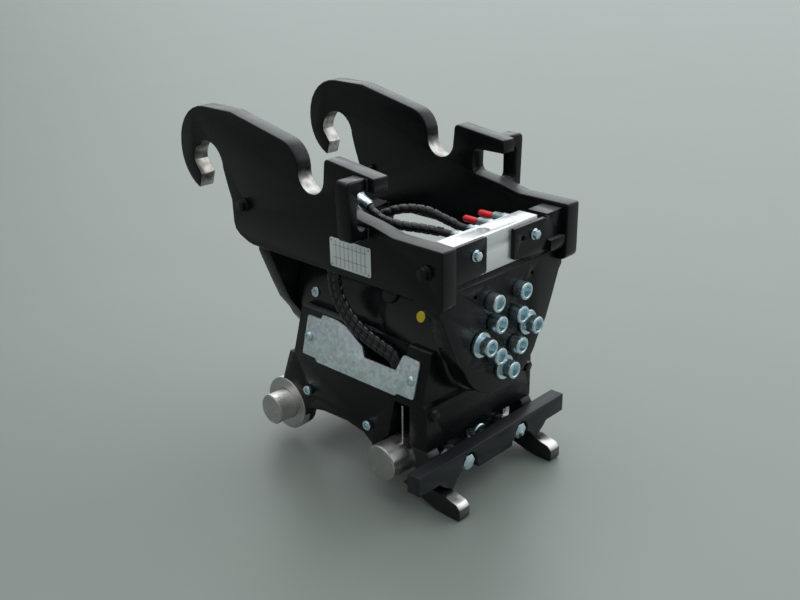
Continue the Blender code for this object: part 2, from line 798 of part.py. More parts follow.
def port_fittings():
    """Capped test fittings on the two right-hand ports."""
    profile = [
        (0.0, 0.010),
        (0.0050, 0.010),
        (0.0050, -GAP),
        (0.0072, -GAP),
        (0.0078, -0.003),
        (0.0078, -0.012),
        (0.0066, -0.014),
        (0.0066, -0.027),
        (0.0030, -0.028),
        (0.0030, -0.036),
        (0.0, -0.036),
    ]
    cap_profile = [
        (0.0, 0.0005),
        (0.0040, 0.0),
        (0.0046, -0.0010),
        (0.0046, -0.020),
        (0.0037, -0.0225),
        (0.0, -0.0225),
    ]
    cap_inner = [(0.0, 0.020), (0.0033, 0.020), (0.0033, -0.0095), (0.0, -0.0095)]
    for i, name in enumerate(("right", "left")):
        y = PORT_FIRST - i * PORT_PITCH
        fitting = turned("port_fitting_" + name, profile, HOLE_ROUND, "X", (MANIFOLD_X, y, PORT_Z))
        finish(fitting, "upper_frame", "zinc")
        cap = turned("port_cap_" + name, cap_profile, HOLE_ROUND, "X", (MANIFOLD_X - 0.0295, y, PORT_Z))
        cut(cap, turned("cap_bore", cap_inner, HOLE_ROUND, "X", (MANIFOLD_X - 0.0295, y, PORT_Z)))
        finish(bake(cap), "upper_frame", "cap_red")


def bracket_screw(name, y, z):
    screw = hex_bolt(name, 0.0062, 0.005, 0.0012, BRACKET_SCREW_R, BRACKET_THICK + 0.004)
    screw.matrix_world = Matrix.Translation((MANIFOLD_FRONT + GAP + BRACKET_THICK, y, z)) @ AXES["X"]
    finish(screw, "upper_frame", "zinc")


def manifold_brackets():
    """Slotted straps that hold the manifold to the side plates."""
    back = MANIFOLD_FRONT + GAP
    middle = back + BRACKET_THICK / 2
    wall = PLATE_IN - GAP
    _, bolt_x, bolt_z = PLATE_BOLTS[1]
    room_r = PLATE_BOLT_R + 0.0012
    corners = [
        (-wall, BRACKET_LOW - 0.003, 0.0),
        (BRACKET_LEFT, BRACKET_LOW, 0.003),
        (BRACKET_LEFT, MANIFOLD_TOP, 0.003),
        (-wall, MANIFOLD_TOP, 0.0),
    ]
    left = extruded("manifold_bracket_left", fillet(corners), BRACKET_THICK, "YZ", (middle, 0.0, 0.0))
    flange_low = (MANIFOLD_X + 0.008, -wall, BRACKET_LOW - 0.003)
    flange_high = (back + 0.001, -wall + BRACKET_THICK, MANIFOLD_TOP - 0.002)
    join(left, box("flange", flange_low, flange_high))
    slot_r = BRACKET_SCREW_R + 2 * GAP
    for y in (BRACKET_SCREWS[0][0], BRACKET_SCREWS[0][0] + BRACKET_SLOT):
        cut(left, rod("slot_end", slot_r, -0.03, 0.03, "X", (middle, y, BRACKET_SCREWS[0][1]), HOLE_ROUND))
    slot_low = (middle - 0.01, BRACKET_SCREWS[0][0], BRACKET_SCREWS[0][1] - slot_r)
    slot_high = (middle + 0.01, BRACKET_SCREWS[0][0] + BRACKET_SLOT, BRACKET_SCREWS[0][1] + slot_r)
    cut(left, box("slot", slot_low, slot_high, "cutters"))
    cut(left, rod("plate_bolt_room", room_r, -0.03, 0.03, "Y", (bolt_x, -wall, bolt_z), HOLE_ROUND))
    left = bake(left)
    finish(left, "upper_frame", "black_paint")

    top = MANIFOLD_TOP - 0.005
    corners = [
        (BRACKET_RIGHT, BRACKET_LOW, 0.003),
        (BRACKET_BEND + 0.006, BRACKET_LOW - 0.0065, 0.0),
        (BRACKET_BEND + 0.006, top, 0.0),
        (BRACKET_RIGHT, top, 0.003),
    ]
    right = extruded("manifold_bracket_right", fillet(corners), BRACKET_THICK, "YZ", (middle, 0.0, 0.0))
    foot_top = BRACKET_LOW + 0.0085
    lug_low = (MANIFOLD_X + 0.002, BRACKET_BEND + 0.004, foot_top - 0.001)
    join(right, box("lug", lug_low, (back + BRACKET_THICK - 0.002, wall, MANIFOLD_TOP - 0.002)))
    foot_low = (MANIFOLD_X + 0.002, BRACKET_BEND + 0.005, BRACKET_LOW - 0.0065)
    join(right, box("foot", foot_low, (back + BRACKET_THICK + 0.005, wall, foot_top)))
    cut(right, rod("screw_hole", BRACKET_SCREW_R + GAP, -0.03, 0.03, "X", (middle, *BRACKET_SCREWS[1]), 12))
    cut(right, rod("hole", BRACKET_HOLE_R, -0.03, 0.03, "X", (middle, BRACKET_HOLE_Y, BRACKET_SCREWS[1][1]), 12))
    for z in (BRACKET_LOW - 0.006, top):
        cut(right, rod("bend_relief", 0.0025, -0.03, 0.03, "X", (middle, BRACKET_BEND, z), HOLE_ROUND))
    cut(right, rod("plate_bolt_room", room_r, -0.03, 0.03, "Y", (bolt_x, wall, bolt_z), HOLE_ROUND))
    right = bake(right)
    finish(right, "upper_frame", "black_paint")
    bracket_screw("bracket_screw_left", *BRACKET_SCREWS[0])
    bracket_screw("bracket_screw_right", *BRACKET_SCREWS[1])


def lower_section():
    """Cross-section of the lower frame: upright walls that lean in above the ledge."""
    top = BASE_TOP_WIDTH / 2
    return [
        (-BASE_HALF, -0.01),
        (BASE_HALF, -0.01),
        (BASE_HALF, LEAN_Z),
        (top, BASE_TOP),
        (-top, BASE_TOP),
        (-BASE_HALF, LEAN_Z),
    ]


def lower_outline():
    """Side view of the lower frame, in X and Z."""
    outline = arc(AXLE_X, BASE_AXIS_Z, AXLE_END_R, 97, 335)
    outline += [(-0.037, 0.064), (-0.001, 0.072), (0.045, 0.0735), (0.079, 0.068), (0.094, 0.057)]
    outline += [(0.104, 0.026), (0.118, 0.018), (0.160, 0.018), (NOSE_X, 0.030)]
    outline += [(NOSE_X, CHEEK_BOTTOM), (CHEEK_FRONT, CHEEK_BOTTOM), (CHEEK_FRONT, LEDGE_Z - 0.004)]
    outline += [(0.189, LEDGE_Z), (0.189, BASE_TOP + 0.01), (-0.056, BASE_TOP + 0.01), (-0.058, LEDGE_Z)]
    outline += [(-0.068, LEDGE_Z)]
    return outline


def lock_pocket_outline():
    """Side view of the space round a lock pin and under the cheek."""
    outline = arc(LOCK_X, BASE_AXIS_Z, LOCK_R + 0.0025, 200, 118)
    outline += [(0.139, 0.136), (0.139, LEDGE_Z - 0.008), (CHEEK_REAR, LEDGE_Z - 0.008)]
    outline += [(CHEEK_REAR, CHEEK_BOTTOM), (0.22, CHEEK_BOTTOM), (0.22, -0.02), (0.10, -0.02)]
    return outline


def lower_body():
    body = extruded("lower_body", lower_outline(), BASE_WIDTH + 0.02, "XZ")
    combine(body, extruded("section", lower_section(), 0.6, "YZ"), "INTERSECT")
    core = CORE_WIDTH / 2
    for side in (-1, 1):
        y = side * (core + 0.05)
        cut(body, extruded("lock_pocket", lock_pocket_outline(), 0.1, "XZ", (0.0, y, 0.0)))
    for side, axis in ((-1, "-Y"), (1, "Y")):
        place = (LOCK_X, 0.0, BASE_AXIS_Z)
        boss = rod("lock_boss", LOCK_BOSS_R, core - 0.01, LOCK_BOSS_Y, axis, place, MEDIUM_ROUND, chamfer=0.002)
        join(body, boss)
    belly = BASE_HALF - BASE_WALL
    cut(body, box("belly", (AXLE_X - 0.06, -belly, -0.01), (BELLY_FRONT, belly, BELLY_TOP)))
    profile = housing_profile(GAP)
    cradle = [(0.0, profile[0][1])] + profile + [(0.0, profile[-1][1])]
    cut(body, turned("cradle", cradle, LARGE_ROUND, "X", (0.0, 0.0, TILT_Z)))
    cut(body, rod("axle_bore", AXLE_R + GAP, -0.2, 0.2, "Y", (AXLE_X, 0.0, BASE_AXIS_Z), MEDIUM_ROUND))
    cut(body, rod("lock_bore", LOCK_R + RUN_GAP, -0.2, 0.2, "Y", (LOCK_X, 0.0, BASE_AXIS_Z), MEDIUM_ROUND))
    for side, axis in ((-1, "-Y"), (1, "Y")):
        place = (AXLE_X, 0.0, BASE_AXIS_Z)
        seat_r = COLLAR_R + GAP
        seat = rod("collar_seat", seat_r, BASE_HALF - COLLAR, BASE_HALF + 0.02, axis, place, MEDIUM_ROUND)
        cut(body, seat)
        for x, z in SIDE_SCREWS:
            hole_r = SIDE_SCREW_R + 0.0005
            hole = rod("side_screw_hole", hole_r, BASE_HALF - 0.012, BASE_HALF + 0.02, axis, (x, 0.0, z), 12)
            cut(body, hole)
        cut(body, rod("ledge_bolt_hole", LEDGE_BOLT_R + GAP, -0.013, 0.03, "X", ledge_bolt_place(side), 12))
    for y in (-CROSS_BOLT_Y, CROSS_BOLT_Y):
        cut(body, rod("cross_bolt_hole", CROSS_BOLT_R + GAP, -0.02, 0.03, "X", (NOSE_X, y, CROSS_BOLT_Z), 16))
    cut(body, rod("nose_plug_hole", 0.0105, -0.012, 0.03, "X", (NOSE_X, 0.0, 0.066), 20))
    low = HOSE_POCKET_LOW
    pocket = [(0.150, low), (0.084, low), (0.046, low + 0.034), (0.030, low + 0.064), (0.150, low + 0.064)]
    cut(body, extruded("hose_pocket", pocket, 0.05, "XZ", (0.0, -HOSE_POCKET_Y - 0.025, 0.0)))
    body = bake(body)
    finish(body, "lower_frame", "black_paint")


def side_screws():
    """Socket screws low on each wall."""
    profile = [
        (0.0, 0.0065),
        (0.0062, 0.0065),
        (0.0072, 0.0055),
        (0.0072, GAP),
        (SIDE_SCREW_R, GAP),
        (SIDE_SCREW_R, -0.011),
        (0.0, -0.011),
    ]
    pattern = turned("side_screw_pattern", profile, HOLE_ROUND, "Z", (0.0, 0.0, 0.0))
    cut(pattern, hexagon("socket", 0.0042, 0.002, 0.010, "Z", (0.0, 0.0, 0.0)))
    pattern = bake(pattern)
    for side, axis, name in ((-1, "-Y", "left"), (1, "Y", "right")):
        for (x, z), label in zip(SIDE_SCREWS, ("rear", "front")):
            matrix = Matrix.Translation((x, side * BASE_HALF, z)) @ AXES[axis]
            finish(copy_of(pattern, "side_screw_%s_%s" % (name, label), matrix), "lower_frame", "zinc")
    bpy.data.objects.remove(pattern, do_unlink=True)


def fixed_axle():
    place = (AXLE_X, 0.0, BASE_AXIS_Z)
    axle = rod("fixed_axle", AXLE_R, -PIN_REACH, PIN_REACH, "Y", place, MEDIUM_ROUND, chamfer=0.002)
    finish(axle, "lower_frame", "bare_steel")
    low = BASE_HALF - COLLAR + GAP
    high = BASE_HALF + COLLAR_RISE
    profile = [
        (COLLAR_R - 0.0015, high),
        (COLLAR_R, high - 0.0015),
        (COLLAR_R, low),
        (AXLE_R + GAP, low),
        (AXLE_R + GAP, high),
    ]
    for axis, name in (("-Y", "left"), ("Y", "right")):
        collar = turned("axle_collar_" + name, profile, MEDIUM_ROUND, axis, place)
        finish(collar, "lower_frame", "bare_steel")


def lock_pins():
    """Sliding pins, each with the upright rod that shows whether it is out."""
    inner = PIN_REACH - LOCK_LENGTH
    for axis, name, side in (("-Y", "left", -1), ("Y", "right", 1)):
        place = (LOCK_X, 0.0, BASE_AXIS_Z)
        pin = rod("lock_pin_" + name, LOCK_R, inner, PIN_REACH, axis, place, MEDIUM_ROUND, chamfer=0.002)
        bottom = BASE_AXIS_Z + math.sqrt(LOCK_R**2 - (LOCK_ROD_X - LOCK_X) ** 2) - 0.006
        rod_place = (LOCK_ROD_X, side * LOCK_ROD_Y, 0.0)
        join(pin, rod("indicator", LOCK_ROD_R, bottom, LOCK_ROD_TOP, "Z", rod_place, 12, chamfer=0.0005))
        finish(bake(pin), "lock_" + name, "bare_steel")


def claw_outline():
    """Side view of a claw, hollowed round the lock pin behind and rounded at its nose."""
    riser = CROSSBAR_X - GAP
    hollow = arc(LOCK_X, BASE_AXIS_Z, 0.0362, 43, -62)
    front = [
        (0.152, 0.019, 0.0),
        (0.164, 0.016, 0.0),
        (0.188, 0.008, 0.0),
        (0.210, 0.002, 0.0),
        (0.232, 0.0, 0.0),
        (CLAW_NOSE, 0.0, 0.004),
        (CLAW_NOSE, 0.0165, 0.002),
        (0.246, 0.023, 0.002),
        (0.222, CLAW_TOP, 0.0),
        (riser, CLAW_TOP, 0.0),
        (riser, 0.070, 0.0),
        (CHEEK_FRONT - 0.001, CHEEK_BOTTOM - GAP, 0.0),
    ]
    return hollow + fillet(sharp(hollow) + front)[len(hollow):]


def claws():
    outer = BASE_HALF
    claw = extruded("claw_left", claw_outline(), CLAW_THICK, "XZ", (0.0, -outer + CLAW_THICK / 2, 0.0))
    bevel(claw, 0.0008, 50)
    claw = bake(claw)
    finish(mirrored(claw, "claw_right"), "lower_frame", "bar_black")
    finish(claw, "lower_frame", "bar_black")


def crossbar():
    low = CLAW_TOP + GAP
    half = [
        (CROSSBAR_HALF, CROSSBAR_TOP),
        (CROSSBAR_HALF, 0.047),
        (0.115, 0.0465),
        (0.110, 0.041),
        (0.098, 0.033),
        (0.089, low),
        (0.080, 0.040),
        (0.074, 0.046),
        (0.038, 0.046),
        (0.036, 0.038),
    ]
    outline = half + [(-y, z) for y, z in reversed(half)]
    bar = extruded("crossbar", outline, CROSSBAR_THICK, "YZ", (CROSSBAR_X + CROSSBAR_THICK / 2, 0.0, 0.0))
    bevel(bar, 0.0008, 50)
    bar = bake(bar)
    front = CROSSBAR_X + CROSSBAR_THICK
    for y in (-CROSS_BOLT_Y, CROSS_BOLT_Y):
        place = (front, y, CROSS_BOLT_Z)
        pocket = arc(y, CROSS_BOLT_Z, POCKET_R, 0, 180) + [(y - POCKET_R, 0.02), (y + POCKET_R, 0.02)]
        cut(bar, extruded("pocket", pocket, 2 * POCKET_DEPTH, "YZ", (front, 0.0, 0.0)))
        cut(bar, rod("bolt_hole", CROSS_BOLT_R + GAP, -0.04, 0.01, "X", place, 16))
    finish(bake(bar), "lower_frame", "bar_black")


def crossbar_bolts():
    seat = CROSSBAR_X + CROSSBAR_THICK - POCKET_DEPTH
    length = seat - NOSE_X + 0.015
    for y, name in ((-CROSS_BOLT_Y, "left"), (CROSS_BOLT_Y, "right")):
        bolt = hex_bolt("crossbar_bolt_" + name, 0.0115, 0.008, 0.0015, CROSS_BOLT_R, length)
        join(bolt, hexagon("nut", 0.0120, NOSE_X + GAP - seat, NOSE_X + 0.014 - seat, "Z", (0.0, 0.0, 0.0)))
        bolt = bake(bolt)
        bolt.matrix_world = Matrix.Translation((seat, y, CROSS_BOLT_Z)) @ AXES["X"]
        finish(bolt, "lower_frame", "zinc")


def nose_plug():
    profile = [
        (0.0, 0.016),
        (0.0105, 0.016),
        (0.0120, 0.0145),
        (0.0120, 0.006),
        (0.0150, 0.005),
        (0.0150, GAP),
        (0.0100, GAP),
        (0.0100, -0.011),
        (0.0, -0.011),
    ]
    plug = turned("nose_plug", profile, SMALL_ROUND, "X", (NOSE_X, 0.0, 0.066))
    cut(plug, hexagon("socket", 0.0062, 0.006, 0.02, "X", (NOSE_X, 0.0, 0.066)))
    finish(bake(plug), "lower_frame", "zinc")


def wall_matrix(standoff):
    """Frame of the leaning left wall: local X along the frame, local Y up the slope."""
    at = Matrix.Translation((0.0, -BASE_HALF, LEAN_Z))
    lean = Matrix.Rotation(-COVER_LEAN, 4, "X")
    return at @ lean @ PLANES["XZ"] @ Matrix.Translation((0.0, 0.0, standoff))


def cover_plate():
    slope = 1 / math.cos(COVER_LEAN)
    edge = [
        (COVER_REAR, COVER_LOW, 0.002),
        (-0.0115, COVER_LOW, 0.002),
        (-0.0065, 0.1475, 0.0),
        (0.1425, 0.1475, 0.0),
        (0.1465, COVER_LOW - 0.001, 0.002),
        (COVER_FRONT - 0.001, COVER_LOW - 0.001, 0.003),
        (COVER_FRONT, 0.2005, 0.003),
        (0.147, 0.2020, 0.004),
        (0.138, 0.179, 0.003),
        (0.0795, 0.179, 0.004),
        (0.073, 0.192, 0.0),
        (0.0355, 0.209, 0.0),
        (0.017, 0.2125, 0.003),
        (-0.009, 0.2125, 0.002),
        (-0.0115, COVER_TOP, 0.002),
        (COVER_REAR, COVER_TOP, 0.003),
    ]
    outline = [(x, (z - LEAN_Z) * slope) for x, z in fillet(edge)]
    cover = extruded("cover_plate", outline, COVER_THICK, "XY")
    cover.matrix_world = wall_matrix(COVER_STANDOFF + COVER_THICK / 2)
    for x, z in COVER_BOLTS:
        hole = rod("cover_hole", COVER_BOLT_R + 0.0005, -0.02, 0.02, "Z", (0.0, 0.0, 0.0), 12)
        hole.matrix_world = wall_matrix(0.0) @ Matrix.Translation((x, (z - LEAN_Z) * slope, 0.0))
        cut(cover, hole)
    cover = bake(cover)
    finish(cover, "lower_frame", "galvanised")


def cover_bolts():
    """Button-head screws with hexagon sockets."""
    slope = 1 / math.cos(COVER_LEAN)
    profile = [
        (0.0, 0.0042),
        (0.0030, 0.0041),
        (0.0052, 0.0032),
        (0.0066, 0.0018),
        (0.0070, GAP),
        (COVER_BOLT_R, GAP),
        (COVER_BOLT_R, -COVER_THICK),
        (0.0, -COVER_THICK),
    ]
    for (x, z), name in zip(COVER_BOLTS, ("rear", "front")):
        bolt = turned("cover_bolt_" + name, profile, SMALL_ROUND, "Z", (0.0, 0.0, 0.0))
        cut(bolt, hexagon("socket", 0.0026, 0.0016, 0.0060, "Z", (0.0, 0.0, 0.0)))
        bolt = bake(bolt)
        up = (z - LEAN_Z) * slope
        bolt.matrix_world = wall_matrix(COVER_STANDOFF + COVER_THICK) @ Matrix.Translation((x, up, 0.0))
        finish(bolt, "lower_frame", "zinc")


def ledge_bolt_place(side):
    return (CHEEK_FRONT, side * (BASE_HALF - LEDGE_BOLT_IN), LEDGE_Z - LEDGE_BOLT_DOWN)


def ledge_bolts():
    for side, name in ((-1, "left"), (1, "right")):
        bolt = hex_bolt("ledge_bolt_" + name, 0.0075, 0.005, 0.0015, LEDGE_BOLT_R, 0.012)
        bolt.matrix_world = Matrix.Translation(ledge_bolt_place(side)) @ AXES["X"]
        finish(bolt, "lower_frame", "black_paint")


def smooth_points(route, step):
    """Points every step or so along a Catmull-Rom curve through the route."""
    ends = [[2 * a - b for a, b in zip(route[0], route[1])]] + list(route)
    ends += [[2 * a - b for a, b in zip(route[-1], route[-2])]]
    points = []
    for i in range(1, len(ends) - 2):
        p0, p1, p2, p3 = ends[i - 1 : i + 3]
        count = max(1, round(math.dist(p1[:3], p2[:3]) / step))
        for j in range(count):
            t = j / count
            points.append(
                [
                    0.5 * (2 * b + (c - a) * t + (2 * a - 5 * b + 4 * c - d) * t**2 + (3 * b - a - 3 * c + d) * t**3)
                    for a, b, c, d in zip(p0, p1, p2, p3)
                ]
            )
    return points + [list(route[-1])]


def hose(name, route, body):
    """A hose along a route of X, Y, Z and its size there, 1 where it is bare."""
    curve = bpy.data.curves.new(name, "CURVE")
    curve.dimensions = "3D"
    curve.bevel_depth = HOSE_R
    curve.bevel_resolution = 2
    curve.use_fill_caps = True
    points = smooth_points(route, HOSE_STEP)
    spline = curve.splines.new("POLY")
    spline.points.add(len(points) - 1)
    for point, (x, y, z, size) in zip(spline.points, points):
        point.co = (x, y, z, 1.0)
        point.radius = size
    obj = link(bpy.data.objects.new(name, curve))
    finish(bake(obj), body, "hose_black")


SUPPLY_ROUTE = (
    (0.0775, -0.0850, 0.3835, 1.0),
    (0.0960, -0.0855, 0.3740, 1.0),
    (0.1200, -0.0780, 0.3680, 1.0),
    (0.1430, -0.0610, 0.3640, 1.0),
    (0.1620, -0.0500, 0.3615, 1.0),
    (0.1740, -0.0480, 0.3610, 1.0),
    (0.1860, -0.0480, 0.3610, 1.0),
)
FEED_ROUTE = (
    (0.1350, -0.0960, HOSE_POCKET_LOW + 0.0005, 1.0),
    (0.1345, -0.0960, 0.1800, 1.0),
    (0.1250, -0.0965, 0.1935, 1.0),
    (0.1065, -0.0980, 0.2005, HOSE_GUARD),
    (0.0865, -0.0985, 0.2065, HOSE_GUARD),
    (0.0640, -0.1000, 0.2170, HOSE_GUARD),
    (0.0420, -0.1010, 0.2350, HOSE_GUARD),
    (0.0265, -0.1010, 0.2590, HOSE_GUARD),
    (0.0225, -0.1005, 0.2850, HOSE_GUARD),
    (0.0290, -0.0985, 0.3160, HOSE_GUARD),
    (0.0480, -0.0920, 0.3430, 1.0),
    (0.0720, -0.0790, 0.3630, 1.0),
    (0.0980, -0.0560, 0.3780, 1.0),
    (0.1260, -0.0350, 0.3780, 1.0),
    (0.1540, -0.0215, 0.3670, 1.0),
    (0.1740, -0.0170, 0.3610, 1.0),
    (0.1860, -0.0170, 0.3610, 1.0),
)


def hoses():
    hose("hose_supply", SUPPLY_ROUTE, "upper_frame")
    hose("hose_feed", FEED_ROUTE, "upper_frame")
    end_profile = [
        (0.0, 0.0112),
        (0.0050, 0.0112),
        (0.0050, -GAP),
        (0.0080, -GAP),
        (0.0080, -0.008),
        (0.0066, -0.009),
        (0.0066, -0.0175),
        (0.0, -0.0175),
    ]
    for i, name in ((2, "feed"), (3, "supply")):
        y = PORT_FIRST - i * PORT_PITCH
        fitting = turned("hose_end_" + name, end_profile, HOLE_ROUND, "X", (MANIFOLD_X, y, PORT_Z))
        finish(fitting, "upper_frame", "zinc")
    ferrule = [
        (0.0, 0.028),
        (0.0075, 0.028),
        (0.0078, 0.010),
        (0.0062, 0.008),
        (0.0062, 0.0),
        (0.0, 0.0),
    ]
    fitting = turned("hose_ferrule", ferrule, SMALL_ROUND, "X", (0.0, 0.0, 0.0))
    back = Matrix.Translation(SUPPLY_ROUTE[0][:3]) @ Matrix.Rotation(math.radians(27), 4, "Y")
    fitting.matrix_world = back @ Matrix.Translation((-0.0285, 0.0, 0.0)) @ AXES["X"]
    finish(fitting, "upper_frame", "zinc")


def main():
    clear_scene()
    make_collections()
    make_materials()
    make_bodies()
    side_plates()
    guard_straps()
    end_plates()
    tilt_shaft()
    actuator_housing()
    piston_sleeve()
    shaft_screws()
    plate_bolts()
    name_plate()
    manifold()
    port_fittings()
    manifold_brackets()
    lower_body()
    side_screws()
    fixed_axle()
    lock_pins()
    claws()
    crossbar()
    crossbar_bolts()
    nose_plug()
    cover_plate()
    cover_bolts()
    ledge_bolts()
    hoses()


main()
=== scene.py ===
"""Looks of the tilting quick coupler: finishes, fine round pieces, wrapped hoses and a plain studio."""

import json
import math

import bmesh
import bpy
from mathutils import Matrix, Vector


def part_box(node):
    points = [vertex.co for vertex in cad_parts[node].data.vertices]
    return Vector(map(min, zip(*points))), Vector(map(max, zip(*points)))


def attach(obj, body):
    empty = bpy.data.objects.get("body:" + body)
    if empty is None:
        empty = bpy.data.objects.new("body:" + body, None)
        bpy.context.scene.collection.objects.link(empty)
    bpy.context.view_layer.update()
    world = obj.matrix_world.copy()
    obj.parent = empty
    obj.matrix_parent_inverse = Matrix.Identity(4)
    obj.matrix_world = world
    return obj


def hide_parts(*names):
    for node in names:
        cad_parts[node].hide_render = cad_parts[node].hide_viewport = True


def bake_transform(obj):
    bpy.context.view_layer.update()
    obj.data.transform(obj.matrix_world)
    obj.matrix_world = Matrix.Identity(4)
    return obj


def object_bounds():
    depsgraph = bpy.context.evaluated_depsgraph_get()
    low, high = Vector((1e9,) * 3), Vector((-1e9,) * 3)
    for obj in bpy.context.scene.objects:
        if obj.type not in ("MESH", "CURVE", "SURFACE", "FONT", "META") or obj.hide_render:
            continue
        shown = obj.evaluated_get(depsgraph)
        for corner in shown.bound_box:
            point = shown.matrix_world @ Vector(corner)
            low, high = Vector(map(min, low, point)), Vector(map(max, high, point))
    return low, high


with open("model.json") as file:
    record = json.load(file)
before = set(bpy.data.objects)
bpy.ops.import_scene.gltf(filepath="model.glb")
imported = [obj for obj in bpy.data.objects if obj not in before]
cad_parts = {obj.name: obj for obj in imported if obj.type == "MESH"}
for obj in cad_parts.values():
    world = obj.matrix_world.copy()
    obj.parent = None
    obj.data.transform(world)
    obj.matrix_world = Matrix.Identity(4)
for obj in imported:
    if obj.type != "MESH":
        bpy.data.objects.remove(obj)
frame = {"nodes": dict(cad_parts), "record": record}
CAD_LOW, CAD_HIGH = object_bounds()

# Camera, as the photograph was taken
CAMERA_PLACE = (0.9712, -0.9612, 0.7724)
CAMERA_RIGHT = (0.7254, 0.6882, -0.0163)
CAMERA_UP = (-0.2521, 0.2875, 0.9241)
CAMERA_BACK = (0.6406, -0.6661, 0.3820)
CAMERA_LENS = 46.09
CAMERA_SENSOR = 36.0

# Below this a length counts as nothing
TINY = 1e-7

# Sizes shared with the frame; THROAT and NOTCH are the centres of the hook plate's arcs, X and Z
GAP = 0.0003
TILT_Z = 0.226
PLATE_OUT = 0.136
PLATE_IN = 0.111
THROAT = (-0.1905, 0.405)
NOTCH = (0.024, 0.426)
PIN_Z = 0.056
AXLE_X = -0.0825
LOCK_X = 0.1395

# Steps round a turned piece, and the angles in degrees over which an edge stays sharp
FINEST = 160
FINE = 96
MIDDLING = 64
SMALL_FINE = 48
COARSE = 24
SHARP = 38.0
SHARP_SOCKET = 20.0
SHARP_WRAP = 50.0

# Broken edges of the frame's nodes
MERGE_REACH = 0.00001
EDGE_WIDTH = 0.0004
EDGE_ANGLE = 40

# Actuator
BARREL_R = 0.080
DRUM_R = 0.088
DRUM_X = 0.100
DRUM_EDGE = 0.003
SHOULDER_RISE = 0.002
SHOULDER_TOP = 0.007
SHOULDER_LOW = 0.014
SHOULDER_FOOT = 0.0224
BORE_R = 0.056
BEARING_R = 0.0626
BEARING_SEAT = 0.0246
BEARING_TAPER = 0.004
PLUG_X = -0.040
PLUG_R = 0.0062
PLUG_TURN = 6.5
BOSS_X = 0.105
BOSS_R = 0.013
BOSS_RISE = 0.004
BOSS_TURN = 30.0
ROOT = 0.008
BORE_MOUTH = 0.01

# Screws of the front plate; one whose node is wider than its head by WASHER_SHOWS has a washer
SHAFT_SCREWS = 9
HEAD_R = 0.012
HEAD_HEIGHT = 0.016
KNURL_STEPS = 120
KNURL_DEPTH = 0.00032
HEAD_UNDERCUT = 0.0002
HEAD_TURN = 0.7
SOCKET_R = 0.0081
SOCKET_DEPTH = 0.009
WASHER_R = 0.017
WASHER_BORE_R = 0.0085
WASHER = 0.005
WASHER_SHOWS = 0.002

# Pins
PIN_CHAMFER = 0.0016
LOCK_R = 0.0255
ROD_R = 0.0016
ROD_X = 0.152
ROD_Y = 0.108
ROD_FOOT = 0.019

# Name plate and yellow disc
LABEL_LOW = (0.0570, 0.3150)
LABEL_HIGH = (0.1300, 0.3540)
LABEL_COLUMN = 0.0074
LABEL_ROW = 0.0164
LABEL_SIDE = (0.0065, 0.0067)
LABEL_END = (0.0028, 0.0030)
RIVET_INSET = 0.0034
DISC_X = 0.163
DISC_Z = 0.2555
DISC_R = 0.0072
DISC_LIFT = 0.0003
DISC_THICK = 0.0002

# Weld beads
STRAP_MIDDLE = 0.1155
END_WELD = (0.3075, 0.3140)
END_WELD_R = 0.0022
END_WELD_SINK = 0.0005
STRAP_WELD_R = 0.0018
STRAP_WELD_PROUD = 0.0004
STRAP_WELD_START = 0.001
STRAP_WELD_FOOT = 0.013
STRAP_WELD_TOP = 0.015
BEAD_STEP = 0.0008
BEAD_SIDES = 10
RIPPLE = 0.00035
RIPPLE_PITCH = 0.0032

# Hoses: centrelines as in the frame, black nylon spiral wrap round all of them. A second strand
# runs beside the feed hose as far as point PAIR_END; each stands PAIR_APART off the centreline.
HOSE_R = 0.0050
WRAP_R = 0.0062
WRAP_PITCH = 0.0112
WRAP_WIDTH = 0.0094
WRAP_EDGE = 0.0004
WRAP_SINK = 0.0001
WRAP_STEPS = 28
WRAP_BARE_START = 0.008
WRAP_BARE_END = 0.020
WRAP_BARE_HIDDEN = 0.004
HOSE_STEP = 0.004
PAIR_APART = 0.0050
PAIR_END = 11
PAIR_TOP = 0.372
PAIR_FADE = 0.035
FEED_ROUTE = (
    (0.1350, -0.0960, 0.1665),
    (0.1345, -0.0960, 0.1800),
    (0.1250, -0.0965, 0.1935),
    (0.1065, -0.0980, 0.2005),
    (0.0865, -0.0985, 0.2065),
    (0.0640, -0.1000, 0.2170),
    (0.0420, -0.1010, 0.2350),
    (0.0265, -0.1010, 0.2590),
    (0.0225, -0.1005, 0.2850),
    (0.0290, -0.0985, 0.3160),
    (0.0480, -0.0920, 0.3430),
    (0.0720, -0.0790, 0.3630),
    (0.0980, -0.0560, 0.3780),
    (0.1260, -0.0350, 0.3780),
    (0.1540, -0.0215, 0.3670),
    (0.1740, -0.0170, 0.3610),
    (0.1860, -0.0170, 0.3610),
)
SUPPLY_ROUTE = (
    (0.0775, -0.0850, 0.3835),
    (0.0960, -0.0855, 0.3740),
    (0.1200, -0.0780, 0.3680),
    (0.1430, -0.0610, 0.3640),
    (0.1620, -0.0500, 0.3615),
    (0.1740, -0.0480, 0.3610),
    (0.1860, -0.0480, 0.3610),
)

# Light: strengths of the surround, colour of the floor, and lamps as name, place, width, height and watts
SKY_TOP = 0.55
SKY_BEHIND = 1.35
SKY_LOW = 0.24
SKY_SEEN = 0.42
SKY_COLOUR = (0.93, 0.98, 1.0, 1.0)
FLOOR = (0.240, 0.268, 0.243)
FLOOR_REACH = 60.0
AIM = (0.0, 0.0, 0.22)
LAMPS = (
    ("overhead", (-0.4, 0.0, 2.3), 1.4, 1.4, 9.0),
    ("right_side", (1.9, 1.4, 1.5), 1.0, 0.8, 1.2),
)

# Colours used by more than one finish
PAINT = (0.0042, 0.0050, 0.0056)
PAINT_GLOSS = 0.23
# Lighter colour for paint faces that point up: a painted sheen standing in for reflected light
TOP_SHEEN_COLOUR = (0.125, 0.130, 0.130, 1.0)
STEEL = (0.50, 0.49, 0.475)

